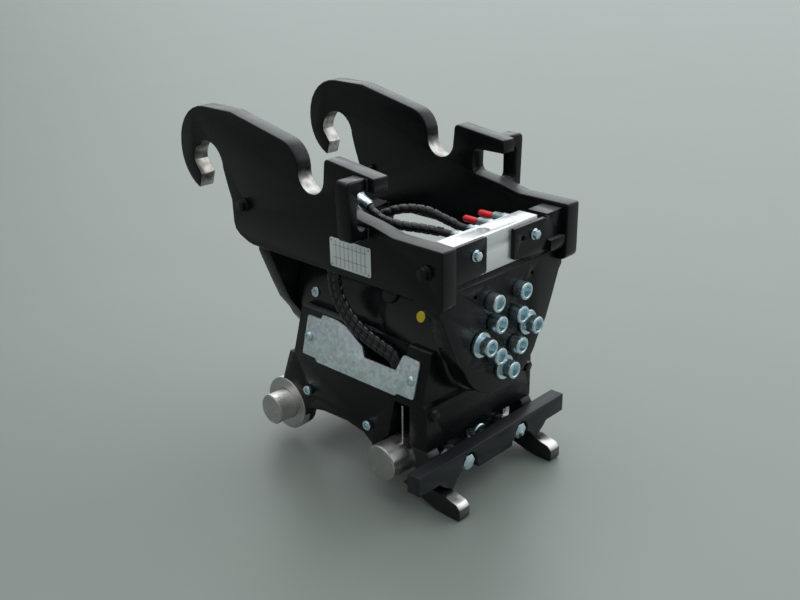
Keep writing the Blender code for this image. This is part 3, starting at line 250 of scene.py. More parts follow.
# Turning marks, in radians per metre
RING_RATE = 9000.0
GROOVE_RATE = 7000.0

# Turns that lay a piece's own Z along an axis of the frame
AXES = {
    "X": Matrix.Rotation(math.pi / 2, 4, "Y"),
    "Y": Matrix.Rotation(-math.pi / 2, 4, "X"),
    "-Y": Matrix.Rotation(math.pi / 2, 4, "X"),
}


def make_camera():
    """The photograph's view."""
    data = bpy.data.cameras.new("camera")
    data.sensor_width = CAMERA_SENSOR
    data.lens = CAMERA_LENS
    camera = bpy.data.objects.new("camera", data)
    bpy.context.scene.collection.objects.link(camera)
    turn = Matrix((CAMERA_RIGHT, CAMERA_UP, CAMERA_BACK)).transposed().to_quaternion()
    camera.matrix_world = Matrix.Translation(CAMERA_PLACE) @ turn.to_matrix().to_4x4()
    bpy.context.scene.camera = camera


def fill(tree, socket, value):
    """Links a socket to another one, or gives it a plain value."""
    if isinstance(value, bpy.types.NodeSocket):
        tree.links.new(value, socket)
    else:
        socket.default_value = value


def arithmetic(tree, operation, first, second):
    """One step of arithmetic between sockets or numbers."""
    node = tree.nodes.new("ShaderNodeMath")
    node.operation = operation
    fill(tree, node.inputs[0], first)
    fill(tree, node.inputs[1], second)
    return node.outputs[0]


class Finish:
    """A Principled material that is put together from shader nodes."""

    def __init__(self, name, colour, roughness, metallic=0.0, specular=0.5):
        self.material = bpy.data.materials.new(name)
        self.material.use_nodes = True
        self.tree = self.material.node_tree
        self.shader = self.tree.nodes["Principled BSDF"]
        self.coordinates = self.tree.nodes.new("ShaderNodeTexCoord")
        self.set("Base Color", (*colour, 1.0))
        self.set("Roughness", roughness)
        self.set("Metallic", metallic)
        self.set("Specular IOR Level", specular)

    def put(self, socket, value):
        fill(self.tree, socket, value)

    def set(self, name, value):
        self.put(self.shader.inputs[name], value)

    def calc(self, operation, first, second=0.0):
        return arithmetic(self.tree, operation, first, second)

    def remap(self, value, low, high, to_low=0.0, to_high=1.0):
        node = self.tree.nodes.new("ShaderNodeMapRange")
        self.put(node.inputs["Value"], value)
        node.inputs["From Min"].default_value = low
        node.inputs["From Max"].default_value = high
        node.inputs["To Min"].default_value = to_low
        node.inputs["To Max"].default_value = to_high
        return node.outputs["Result"]

    def split(self, output="Object"):
        """The three parts of the place or of the normal, both in the frame at rest."""
        node = self.tree.nodes.new("ShaderNodeSeparateXYZ")
        self.put(node.inputs[0], self.coordinates.outputs[output])
        return node.outputs

    def stretched(self, stretch, centre=(0.0, 0.0, 0.0)):
        node = self.tree.nodes.new("ShaderNodeMapping")
        node.vector_type = "TEXTURE"
        self.put(node.inputs["Vector"], self.coordinates.outputs["Object"])
        node.inputs["Location"].default_value = centre
        node.inputs["Scale"].default_value = stretch
        return node.outputs["Vector"]

    def noise(self, scale, detail=3.0, stretch=(1.0, 1.0, 1.0)):
        node = self.tree.nodes.new("ShaderNodeTexNoise")
        self.put(node.inputs["Vector"], self.stretched(stretch))
        node.inputs["Scale"].default_value = scale
        node.inputs["Detail"].default_value = detail
        return node.outputs["Fac"]

    def cells(self, scale):
        node = self.tree.nodes.new("ShaderNodeTexVoronoi")
        self.put(node.inputs["Vector"], self.coordinates.outputs["Object"])
        node.inputs["Scale"].default_value = scale
        return node.outputs["Color"]

    def blend(self, factor, first, second):
        """The first colour at factor 0 and the second at 1; the colour sockets are 6 and 7."""
        node = self.tree.nodes.new("ShaderNodeMix")
        node.data_type = "RGBA"
        self.put(node.inputs["Factor"], factor)
        self.put(node.inputs[6], first)
        self.put(node.inputs[7], second)
        return node.outputs[2]

    def mix_values(self, factor, first, second):
        """The first value at factor 0 and the second at 1."""
        change = self.calc("SUBTRACT", second, first)
        return self.calc("ADD", self.calc("MULTIPLY", change, factor), first)

    def bump(self, height, distance, strength=1.0):
        node = self.tree.nodes.new("ShaderNodeBump")
        node.inputs["Distance"].default_value = distance
        self.put(node.inputs["Strength"], strength)
        self.put(node.inputs["Height"], height)
        self.set("Normal", node.outputs["Normal"])

    def radius_about(self, u, v, centre_u, centre_v):
        across = self.calc("SUBTRACT", u, centre_u)
        up = self.calc("SUBTRACT", v, centre_v)
        squares = self.calc("ADD", self.calc("MULTIPLY", across, across), self.calc("MULTIPLY", up, up))
        return self.calc("SQRT", squares)

    def all_of(self, *masks):
        total = masks[0]
        for mask in masks[1:]:
            total = self.calc("MULTIPLY", total, mask)
        return total

    def any_of(self, *masks):
        total = masks[0]
        for mask in masks[1:]:
            total = self.calc("MAXIMUM", total, mask)
        return total


def shade(colour, factor):
    """A colour made lighter or darker, with its alpha."""
    return (*[min(1.0, channel * factor) for channel in colour], 1.0)


def paint_base(finish, colour):
    """Patchy dust all over, a painted sheen on level faces (a lighter colour standing in for the light they
    reflect), an uneven gloss and the pebbling of a sprayed coat.
    """
    dust_and_sheen_patches = finish.remap(finish.noise(14.0, 6.0), 0.52, 0.80)
    cloudy = finish.blend(finish.calc("MULTIPLY", dust_and_sheen_patches, 0.4), shade(colour, 1.0), shade(colour, 2.6))
    gloss = finish.remap(finish.noise(38.0, 4.0), 0.3, 0.7, 0.22, 0.34)
    pebbles = finish.noise(620.0, 2.0)
    # Painted sheen: faces that point up take a lighter colour, patchy in strength, in place of the light
    # they reflect
    top = finish.remap(finish.split("Normal")[2], 0.80, 0.97)
    top_sheen = finish.calc("MULTIPLY", top, finish.remap(dust_and_sheen_patches, 0.0, 1.0, 0.6, 1.0))
    cloudy = finish.blend(top_sheen, cloudy, TOP_SHEEN_COLOUR)
    return cloudy, gloss, pebbles


def black_paint():
    """Satin black paint of the frames."""
    finish = Finish("satin_black_paint", PAINT, 0.4, specular=PAINT_GLOSS)
    cloudy, gloss, pebbles = paint_base(finish, PAINT)
    finish.set("Base Color", cloudy)
    finish.set("Roughness", gloss)
    finish.bump(pebbles, 0.00012, 0.35)
    return finish.material


def barrel_paint():
    """The same paint, sprayed smoother on the turned barrel."""
    finish = Finish("glossy_barrel_paint", PAINT, 0.25, specular=0.45)
    cloudy, gloss, pebbles = paint_base(finish, PAINT)
    finish.set("Base Color", cloudy)
    finish.set("Roughness", finish.calc("MULTIPLY", gloss, 0.85))
    finish.bump(pebbles, 0.00006, 0.3)
    return finish.material


def plate_paint():
    """Black paint with bare steel in the hook's throat, at its tip and low in the notch."""
    finish = Finish("hook_plate_paint", PAINT, 0.4, specular=PAINT_GLOSS)
    cloudy, gloss, pebbles = paint_base(finish, PAINT)
    x, _, z = finish.split()
    normal = finish.split("Normal")
    rim = finish.remap(finish.calc("ABSOLUTE", normal[1]), 0.55, 0.35)
    throat = finish.remap(finish.radius_about(x, z, *THROAT), 0.0352, 0.0338)
    ragged = finish.calc("MULTIPLY", finish.noise(160.0, 4.0), 0.012)
    left = finish.remap(finish.calc("ADD", x, ragged), -0.1800, -0.1880)
    below = finish.remap(finish.calc("ADD", z, ragged), 0.4330, 0.4260)
    in_throat = finish.all_of(throat, left, below)
    tip = finish.all_of(
        finish.remap(x, -0.1900, -0.1925),
        finish.remap(x, -0.2168, -0.2160),
        finish.remap(z, 0.3645, 0.3665),
        finish.remap(z, 0.3925, 0.3890),
    )
    notch = finish.remap(finish.radius_about(x, z, *NOTCH), 0.0256, 0.0246)
    low = finish.remap(finish.calc("ADD", z, ragged), 0.4340, 0.4190)
    bare = finish.all_of(rim, finish.any_of(in_throat, tip, finish.all_of(notch, low)))
    stain = finish.remap(finish.noise(90.0, 5.0), 0.42, 0.66)
    stained = finish.blend(stain, (*STEEL, 1.0), (0.30, 0.27, 0.23, 1.0))
    finish.set("Base Color", finish.blend(bare, cloudy, stained))
    finish.set("Metallic", bare)
    finish.set("Roughness", finish.mix_values(bare, gloss, 0.34))
    cut_lines = finish.noise(420.0, 2.0, (1.0, 60.0, 1.0))
    lines = finish.calc("MULTIPLY", cut_lines, rim)
    finish.bump(finish.calc("ADD", finish.calc("MULTIPLY", pebbles, 0.35), lines), 0.00022, 0.5)
    return finish.material


def bar_black():
    """Rolled bar in dull black."""
    colour = (0.014, 0.016, 0.018)
    finish = Finish("rolled_bar_black", colour, 0.42, 0.0, 0.28)
    grain = finish.noise(120.0, 4.0, (1.0, 14.0, 1.0))
    finish.set("Base Color", finish.blend(grain, shade(colour, 0.75), shade(colour, 1.5)))
    finish.set("Roughness", finish.remap(grain, 0.2, 0.8, 0.38, 0.55))
    finish.bump(finish.noise(500.0, 3.0), 0.00015, 0.4)
    return finish.material


def claw_black():
    """Rolled black bar, ground bright on top of the claw's nose; the bare steel is painted darker on faces
    that do not point up, such as its front, a painted shade.
    """
    colour = (0.008, 0.009, 0.010)
    finish = Finish("claw_black", colour, 0.42, 0.0, 0.4)
    x, _, z = finish.split()
    normal = finish.split("Normal")
    rim = finish.remap(finish.calc("ABSOLUTE", normal[1]), 0.6, 0.4)
    ragged = finish.calc("MULTIPLY", finish.noise(140.0, 4.0), 0.014)
    front = finish.remap(finish.calc("ADD", x, ragged), 0.2330, 0.2420)
    up = finish.remap(z, 0.0040, 0.0110)
    bare = finish.all_of(rim, front, up)
    scratches = finish.noise(900.0, 2.0, (1.0, 30.0, 1.0))
    # Painted shade: bare steel on faces that do not point up takes a darker copy of the steel colour
    top = finish.remap(normal[2], 0.45, 0.75)
    steel = finish.blend(scratches, shade(STEEL, 0.9), shade(STEEL, 1.5))
    steel = finish.blend(top, shade(STEEL, 0.32), steel)
    grain = finish.noise(120.0, 4.0)
    black = finish.blend(grain, shade(colour, 0.7), shade(colour, 1.6))
    finish.set("Base Color", finish.blend(bare, black, steel))
    finish.set("Metallic", bare)
    finish.set("Roughness", finish.mix_values(bare, 0.40, 0.30))
    finish.bump(scratches, 0.00008, 0.4)
    return finish.material


def turned_steel(name, centre, roughness=0.26):
    """Bare steel turned about a Y axis through (X, Z): rings on the ends, grooves round the side, which is
    painted lighter than the ends as a painted highlight.
    """
    finish = Finish(name, STEEL, roughness, 1.0)
    x, y, z = finish.split()
    normal = finish.split("Normal")
    side = finish.remap(finish.calc("ABSOLUTE", normal[1]), 0.6, 0.4)
    radius = finish.radius_about(x, z, *centre)
    ring = finish.calc("SINE", finish.calc("MULTIPLY", radius, RING_RATE))
    groove = finish.calc("SINE", finish.calc("MULTIPLY", y, GROOVE_RATE))
    fine = finish.noise(240.0, 3.0, (1.0, 16.0, 1.0))
    marks = finish.mix_values(side, ring, finish.calc("MULTIPLY", finish.calc("ADD", groove, fine), 7.0))
    smear = finish.noise(55.0, 5.0)
    dull = finish.blend(smear, shade(STEEL, 0.78), shade(STEEL, 1.22))
    # Painted highlight: the round side takes a lighter copy of the steel colour than the end faces
    finish.set("Base Color", finish.blend(side, dull, shade(STEEL, 1.85)))
    rough = finish.remap(smear, 0.3, 0.7, roughness - 0.05, roughness + 0.14)
    finish.set("Roughness", finish.calc("ADD", rough, finish.calc("MULTIPLY", side, 0.03)))
    finish.bump(marks, 0.000012, 0.5)
    return finish.material


def bare_steel():
    """Plain machined steel."""
    finish = Finish("bare_steel", STEEL, 0.3, 1.0)
    grain = finish.noise(300.0, 3.0, (1.0, 20.0, 1.0))
    finish.set("Base Color", finish.blend(grain, shade(STEEL, 0.85), shade(STEEL, 1.15)))
    finish.set("Roughness", finish.remap(grain, 0.3, 0.7, 0.24, 0.38))
    return finish.material


def zinc():
    """Bright zinc plating, part bluish and part grey."""
    finish = Finish("bright_zinc", (0.80, 0.88, 0.90), 0.22, 1.0)
    tint = finish.noise(75.0, 4.0)
    finish.set("Base Color", finish.blend(tint, (0.48, 0.70, 0.82, 1.0), (0.80, 0.86, 0.84, 1.0)))
    finish.set("Roughness", finish.remap(finish.noise(220.0, 3.0), 0.3, 0.7, 0.22, 0.40))
    finish.bump(finish.noise(900.0, 2.0), 0.00004, 0.4)
    return finish.material


def galvanised():
    """Galvanised sheet with its spangle."""
    colour = (0.74, 0.82, 0.85)
    finish = Finish("galvanised_sheet", colour, 0.45, 0.9)
    spangle = finish.cells(210.0)
    node = finish.tree.nodes.new("ShaderNodeSeparateColor")
    finish.put(node.inputs[0], spangle)
    finish.set("Base Color", finish.blend(node.outputs[0], shade(colour, 0.86), shade(colour, 1.16)))
    finish.set("Roughness", finish.remap(node.outputs[1], 0.0, 1.0, 0.38, 0.54))
    finish.bump(finish.noise(450.0, 3.0), 0.00006, 0.3)
    return finish.material


def aluminium():
    """Drawn bar, clear anodised."""
    colour = (0.82, 0.84, 0.84)
    finish = Finish("clear_anodised_aluminium", colour, 0.36, 0.75)
    lines = finish.noise(700.0, 3.0, (12.0, 1.0, 12.0))
    finish.set("Base Color", finish.blend(lines, shade(colour, 0.93), shade(colour, 1.06)))
    finish.set("Roughness", finish.remap(lines, 0.3, 0.7, 0.30, 0.44))
    finish.bump(lines, 0.00003, 0.5)
    return finish.material


def red_cap():
    """Soft red plastic."""
    colour = (0.80, 0.018, 0.028)
    finish = Finish("red_cap_plastic", colour, 0.38)
    mottled = finish.noise(160.0, 3.0)
    finish.set("Base Color", finish.blend(mottled, shade(colour, 0.85), shade(colour, 1.15)))
    finish.bump(finish.noise(1200.0, 2.0), 0.00005, 0.4)
    return finish.material


def hose_rubber():
    """Black rubber with a faint weave."""
    colour = (0.010, 0.010, 0.011)
    finish = Finish("hose_rubber", colour, 0.55)
    weave = finish.noise(1300.0, 2.0)
    finish.set("Base Color", finish.blend(weave, shade(colour, 0.7), shade(colour, 1.6)))
    finish.bump(weave, 0.00010, 0.6)
    return finish.material


def wrap_nylon():
    """Glossy black nylon, a little dusty."""
    colour = (0.006, 0.006, 0.007)
    finish = Finish("spiral_wrap_nylon", colour, 0.2)
    dusty = finish.remap(finish.noise(60.0, 5.0), 0.45, 0.75)
    finish.set("Base Color", finish.blend(dusty, shade(colour, 0.9), shade(colour, 1.8)))
    finish.set("Roughness", finish.remap(dusty, 0.0, 1.0, 0.14, 0.30))
    finish.bump(finish.noise(800.0, 2.0), 0.00005, 0.4)
    return finish.material


def label_plate():
    """A blank data plate: pale metal with a printed table of empty boxes."""
    finish = Finish("blank_data_plate", (0.42, 0.46, 0.47), 0.42, 0.5)
    x, _, z = finish.split()
    inside = finish.all_of(
        finish.remap(x, LABEL_LOW[0] + LABEL_SIDE[0], LABEL_LOW[0] + LABEL_SIDE[1]),
        finish.remap(x, LABEL_HIGH[0] - LABEL_SIDE[0], LABEL_HIGH[0] - LABEL_SIDE[1]),
        finish.remap(z, LABEL_LOW[1] + LABEL_END[0], LABEL_LOW[1] + LABEL_END[1]),
        finish.remap(z, LABEL_HIGH[1] - LABEL_END[0], LABEL_HIGH[1] - LABEL_END[1]),
    )
    columns = finish.calc("FRACT", finish.calc("DIVIDE", x, LABEL_COLUMN))
    bars = finish.all_of(finish.remap(columns, 0.10, 0.14), finish.remap(columns, 0.42, 0.38))
    rows = finish.calc("FRACT", finish.calc("DIVIDE", z, LABEL_ROW))
    lines = finish.any_of(finish.calc("MULTIPLY", bars, 0.45), finish.remap(rows, 0.05, 0.04))
    ink = finish.all_of(inside, lines, 0.8)
    pale = finish.blend(finish.noise(150.0, 3.0), (0.74, 0.80, 0.80, 1.0), (0.84, 0.89, 0.89, 1.0))
    finish.set("Base Color", finish.blend(ink, pale, (0.05, 0.055, 0.06, 1.0)))
    finish.set("Roughness", finish.remap(finish.noise(90.0, 4.0), 0.3, 0.7, 0.36, 0.48))
    return finish.material


def yellow_film():
    """Plain yellow film, a little worn."""
    colour = (0.95, 0.68, 0.03)
    finish = Finish("yellow_film", colour, 0.34)
    worn = finish.noise(260.0, 4.0)
    finish.set("Base Color", finish.blend(worn, shade(colour, 0.86), shade(colour, 1.12)))
    return finish.material


def weld_paint():
    """The black paint over a weld bead."""
    finish = Finish("painted_weld", PAINT, 0.36)
    cloudy, _, _ = paint_base(finish, PAINT)
    finish.set("Base Color", cloudy)
    finish.bump(finish.noise(420.0, 3.0), 0.0002, 0.6)
    return finish.material


def make_materials():
    """Every finish, by the name that pieces ask for."""
    return {
        "black_paint": black_paint(),
        "barrel": barrel_paint(),
        "plate_paint": plate_paint(),
        "bar_black": bar_black(),
        "claw_black": claw_black(),
        "bare_steel": bare_steel(),
        "axle_steel": turned_steel("turned_axle_steel", (AXLE_X, PIN_Z)),
        "lock_steel": turned_steel("turned_pin_steel", (LOCK_X, PIN_Z), 0.22),
        "zinc": zinc(),
        "galvanised": galvanised(),
        "aluminium": aluminium(),
        "cap_red": red_cap(),
        "hose_black": hose_rubber(),
        "wrap": wrap_nylon(),
        "label_white": label_plate(),
        "yellow": yellow_film(),
        "weld": weld_paint(),
    }


def smooth(obj, angle=SHARP):
    """Smooth shading with sharp edges over an angle in degrees."""
    obj.data.shade_smooth()
    obj.data.set_sharp_from_angle(angle=math.radians(angle))


def dress_nodes():
    """Finishes and softly broken edges for every node of the frame."""
    special = {
        "side_plate_left": "plate_paint",
        "side_plate_right": "plate_paint",
        "claw_left": "claw_black",
        "claw_right": "claw_black",
    }
    for entry in frame["record"]["subparts"]:
        name = entry["node"]
        node = frame["nodes"][name]
        node.data.materials.clear()
        node.data.materials.append(MATERIALS[special.get(name, entry["material_slot"])])
        weld = node.modifiers.new("weld", "WELD")
        weld.merge_threshold = MERGE_REACH
        edges = node.modifiers.new("edges", "BEVEL")
        edges.width = EDGE_WIDTH
        edges.segments = 2
        edges.limit_method = "ANGLE"
        edges.angle_limit = math.radians(EDGE_ANGLE)
        edges.harden_normals = True
        smooth(node)


def bridge(shell, first, second, closed):
    """Faces between two rings of vertices, either of which may be a single point."""
    count = max(len(first), len(second))
    for i in range(count if closed else count - 1):
        j = (i + 1) % count
        a, b = len(first), len(second)
        corners = [first[i % a], first[j % a], second[j % b], second[i % b]]
        unique = list(dict.fromkeys(corners))
        if len(unique) > 2:
            shell.faces.new(unique)


def object_from(shell, name, matrix, material, angle=SHARP):
    """An object from a bmesh, moved by a matrix."""
    bmesh.ops.recalc_face_normals(shell, faces=shell.faces)
    shell.transform(matrix)
    mesh = bpy.data.meshes.new(name)
    shell.to_mesh(mesh)
    shell.free()
    mesh.materials.append(MATERIALS[material])
    obj = bpy.data.objects.new(name, mesh)
    bpy.context.scene.collection.objects.link(obj)
    smooth(obj, angle)
    return obj


def turned(name, profile, steps, matrix, material, ripple=None, angle=SHARP):
    """A profile of (radius, height) turned about local Z, with an optional ripple of its radius."""
    shell = bmesh.new()
    rings = []
    for radius, height in profile:
        if radius < TINY:
            rings.append([shell.verts.new((0.0, 0.0, height))])
            continue
        ring = []
        for i in range(steps):
            turn = 2 * math.pi * i / steps
            reach = radius + (ripple(i, height) if ripple else 0.0)
            ring.append(shell.verts.new((reach * math.cos(turn), reach * math.sin(turn), height)))
        rings.append(ring)
    for first, second in zip(rings, rings[1:]):
        bridge(shell, first, second, True)
    if profile[0][0] > TINY:
        bridge(shell, rings[-1], rings[0], True)
    return object_from(shell, name, matrix, material, angle)


def carve(obj, *cutters, operation="DIFFERENCE"):
    """Cuts one object with others, which are then gone."""
    for cutter in cutters:
        step = obj.modifiers.new("carve", "BOOLEAN")
        step.operation = operation
        step.solver = "EXACT"
        step.object = cutter
        bpy.context.view_layer.update()
        graph = bpy.context.evaluated_depsgraph_get()
        carved = bpy.data.meshes.new_from_object(obj.evaluated_get(graph))
        obj.modifiers.clear()
        obj.data = carved
        bpy.data.objects.remove(cutter, do_unlink=True)
    smooth(obj)
    return obj


def hexagon(name, corner, low, high, matrix, material):
    """A six-sided prism with slightly broken ends."""
    broken = 0.0004
    profile = [(0.0, high), (corner - broken, high), (corner, high - broken)]
    profile += [(corner, low + broken), (corner - broken, low), (0.0, low)]
    return turned(name, profile, 6, matrix, material, angle=SHARP_SOCKET)


def outward(x, turn):
    """Local Z points away from the tilt axis on the left, turned up by an angle in degrees."""
    up = Matrix.Rotation(-math.radians(turn), 4, "X")
    return Matrix.Translation((x, 0.0, TILT_Z)) @ up @ AXES["-Y"]


def finer(obj, node, body):
    """A finer piece that stands for a node of the frame."""
    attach(obj, body)
    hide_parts(node)
    return obj


def placed(obj, name, matrix):
    """A copy of an object's mesh, moved."""
    mesh = obj.data.copy()
    mesh.transform(matrix)
    twin = bpy.data.objects.new(name, mesh)
    bpy.context.scene.collection.objects.link(twin)
    return twin


def actuator():
    """The barrel and drum, turned fine, with the boss and the plug's seat."""
    low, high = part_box("actuator_housing")
    rear = low.x
    front = high.x
    outside = [
        (DRUM_R - DRUM_EDGE, front),
        (DRUM_R, front - DRUM_EDGE),
        (DRUM_R, DRUM_X + SHOULDER_TOP),
        (DRUM_R - SHOULDER_RISE, DRUM_X),
        (BARREL_R + SHOULDER_RISE, DRUM_X - SHOULDER_LOW),
        (BARREL_R, DRUM_X - SHOULDER_FOOT),
        (BARREL_R, rear + DRUM_EDGE),
        (BARREL_R - DRUM_EDGE, rear),
    ]
    inside = [
        (BEARING_R, rear),
        (BEARING_R, rear + BEARING_SEAT),
        (BORE_R, rear + BEARING_SEAT + BEARING_TAPER),
        (BORE_R, front - BEARING_SEAT - BEARING_TAPER),
        (BEARING_R, front - BEARING_SEAT),
        (BEARING_R, front),
    ]
    along = Matrix.Translation((0.0, 0.0, TILT_Z)) @ AXES["X"]
    housing = turned("tilt_housing", outside + inside, FINEST, along, "barrel")
    top = DRUM_R + BOSS_RISE
    stud = [(0.0, top), (BOSS_R - 0.0015, top), (BOSS_R - 0.0004, top - 0.0004), (BOSS_R, top - 0.0015)]
    stud += [(BOSS_R, BARREL_R - ROOT), (0.0, BARREL_R - ROOT)]
    boss = turned("boss", stud, MIDDLING, outward(BOSS_X, BOSS_TURN), "barrel")
    carve(housing, boss, operation="UNION")
    bore = [(0.0, BARREL_R + BORE_MOUTH), (PLUG_R, BARREL_R + BORE_MOUTH)]
    bore += [(PLUG_R, BARREL_R - ROOT), (0.0, BARREL_R - ROOT)]
    carve(housing, turned("plug_bore", bore, SMALL_FINE, outward(PLUG_X, PLUG_TURN), "barrel"))
    finer(housing, "actuator_housing", "lower_frame")


def cap_head(name):
    """A knurled cap screw head along Z with a hexagon socket, its underside at the origin."""
    knurl_low = 0.0012
    knurl_high = HEAD_HEIGHT - 0.0022

    def knurl(step, height):
        if not knurl_low < height < knurl_high:
            return -HEAD_UNDERCUT
        return -KNURL_DEPTH if step % 2 else 0.0

    profile = [(0.0, HEAD_HEIGHT), (HEAD_R - 0.0016, HEAD_HEIGHT), (HEAD_R - 0.0006, HEAD_HEIGHT - 0.0005)]
    profile += [(HEAD_R, HEAD_HEIGHT - 0.0018), (HEAD_R, knurl_high - 0.0002), (HEAD_R, knurl_low + 0.0002)]
    profile += [(HEAD_R, 0.0008), (HEAD_R - 0.0006, 0.0), (0.0, 0.0)]
    head = turned(name, profile, KNURL_STEPS, Matrix.Identity(4), "zinc", knurl)
    mouth = [(0.0, HEAD_HEIGHT + 0.002), (SOCKET_R + 0.002, HEAD_HEIGHT + 0.002)]
    mouth += [(SOCKET_R, HEAD_HEIGHT - 0.0006), (0.0, HEAD_HEIGHT - 0.0006)]
    cone = turned("mouth", mouth, SMALL_FINE, Matrix.Identity(4), "zinc")
    bottom = HEAD_HEIGHT - SOCKET_DEPTH
    socket = hexagon("socket", SOCKET_R, bottom, HEAD_HEIGHT + 0.001, Matrix.Identity(4), "zinc")
    return carve(head, socket, cone)


def shaft_screws():
    """The cap screws of the front plate and their washers."""
    pattern = cap_head("cap_pattern")
    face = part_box("end_plate_front")[1].x
    washer = [(WASHER_R - 0.0006, WASHER), (WASHER_R, WASHER - 0.0006), (WASHER_R, GAP + 0.0005)]
    washer += [(WASHER_R - 0.0005, GAP), (WASHER_BORE_R, GAP), (WASHER_BORE_R, WASHER)]
    for i in range(1, SHAFT_SCREWS + 1):
        node = "shaft_screw_%d" % i
        low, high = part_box(node)
        seat = high.x - HEAD_HEIGHT
        middle = (low + high) / 2
        spin = Matrix.Rotation(HEAD_TURN * i, 4, "Z")
        matrix = Matrix.Translation((seat, middle.y, middle.z)) @ AXES["X"] @ spin
        finer(placed(pattern, "cap_screw_%d" % i, matrix), node, "upper_frame")
        if high.y - low.y > 2 * HEAD_R + WASHER_SHOWS:
            place = Matrix.Translation((face, middle.y, middle.z)) @ AXES["X"]
            ring = turned("washer_%d" % i, washer, FINE, place, "zinc")
            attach(ring, "upper_frame")
    bpy.data.objects.remove(pattern, do_unlink=True)


def pins():
    """The fixed axle, its collars and the two sliding pins, turned fine."""
    low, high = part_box("fixed_axle")
    radius = (high.z - low.z) / 2
    reach = high.y
    profile = [(0.0, reach), (radius - PIN_CHAMFER, reach), (radius, reach - PIN_CHAMFER)]
    profile += [(radius, PIN_CHAMFER - reach), (radius - PIN_CHAMFER, -reach), (0.0, -reach)]
    place = Matrix.Translation((AXLE_X, 0.0, PIN_Z)) @ AXES["Y"]
    finer(turned("axle_bar", profile, FINE, place, "axle_steel"), "fixed_axle", "lower_frame")
    for name, axis, side in (("left", "-Y", -1), ("right", "Y", 1)):
        low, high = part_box("axle_collar_" + name)
        outer = (high.z - low.z) / 2
        inner_end, outer_end = sorted((abs(low.y), abs(high.y)))
        ring = [(outer - 0.0012, outer_end), (outer, outer_end - 0.0012), (outer, inner_end)]
        ring += [(radius + GAP, inner_end), (radius + GAP, outer_end - 0.0008)]
        ring += [(radius + 0.0011, outer_end)]
        place = Matrix.Translation((AXLE_X, 0.0, PIN_Z)) @ AXES[axis]
        collar = turned("collar_" + name, ring, FINE, place, "axle_steel")
        finer(collar, "axle_collar_" + name, "lower_frame")
        low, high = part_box("lock_pin_" + name)
        inner_end, outer_end = sorted((abs(low.y), abs(high.y)))
        bar = [(0.0, outer_end), (LOCK_R - PIN_CHAMFER, outer_end), (LOCK_R, outer_end - PIN_CHAMFER)]
        bar += [(LOCK_R, inner_end + PIN_CHAMFER), (LOCK_R - PIN_CHAMFER, inner_end), (0.0, inner_end)]
        place = Matrix.Translation((LOCK_X, 0.0, PIN_Z)) @ AXES[axis]
        pin = turned("sliding_pin_" + name, bar, FINE, place, "lock_steel")
        finer(pin, "lock_pin_" + name, "lock_" + name)
        top = high.z
        foot = PIN_Z + ROD_FOOT
        stick = [(0.0, top), (ROD_R - 0.0005, top), (ROD_R, top - 0.0005), (ROD_R, foot), (0.0, foot)]
        place = Matrix.Translation((ROD_X, side * ROD_Y, 0.0))
        rod = turned("indicator_rod_" + name, stick, COARSE, place, "bare_steel")
        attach(rod, "lock_" + name)


def curve_points(route, step):
    """Points along a Catmull-Rom curve through a route."""
    first = Vector(route[0])
    ends = [2 * first - Vector(route[1])] + [Vector(p) for p in route]
    ends += [2 * Vector(route[-1]) - Vector(route[-2])]
    points = []
    for i in range(1, len(ends) - 2):
        a, b, c, d = ends[i - 1 : i + 3]
        count = max(1, round((c - b).length / step))
        for j in range(count):
            t = j / count
            squared = (2 * a - 5 * b + 4 * c - d) * t**2
            cubed = (3 * b - a - 3 * c + d) * t**3
            points.append(0.5 * (2 * b + (c - a) * t + squared + cubed))
    return points + [Vector(route[-1])]


def frames_along(points):
    """(point, tangent, normal, side, length so far) along a line, turning as little as it can."""
    frames = []
    normal = None
    length = 0.0
    for i, point in enumerate(points):
        tangent = (points[min(i + 1, len(points) - 1)] - points[max(i - 1, 0)]).normalized()
        if normal is None:
            normal = tangent.orthogonal().normalized()
        normal = (normal - tangent * normal.dot(tangent)).normalized()
        if i:
            length += (point - points[i - 1]).length
        frames.append((point, tangent, normal, tangent.cross(normal), length))
    return frames


def tube(name, points, radius, sides, material, ripple=None):
    """A round bar along a line, with an optional change of radius along its length."""
    shell = bmesh.new()
    rings = []
    for point, _, normal, side, length in frames_along(points):
        reach = radius + (ripple(length) if ripple else 0.0)
        ring = []
        for i in range(sides):
            turn = 2 * math.pi * i / sides
            ring.append(shell.verts.new(point + (normal * math.cos(turn) + side * math.sin(turn)) * reach))
        rings.append(ring)
    for first, second in zip(rings, rings[1:]):
        bridge(shell, first, second, True)
    shell.faces.new(rings[0])
    shell.faces.new(rings[-1])
    return object_from(shell, name, Matrix.Identity(4), material)


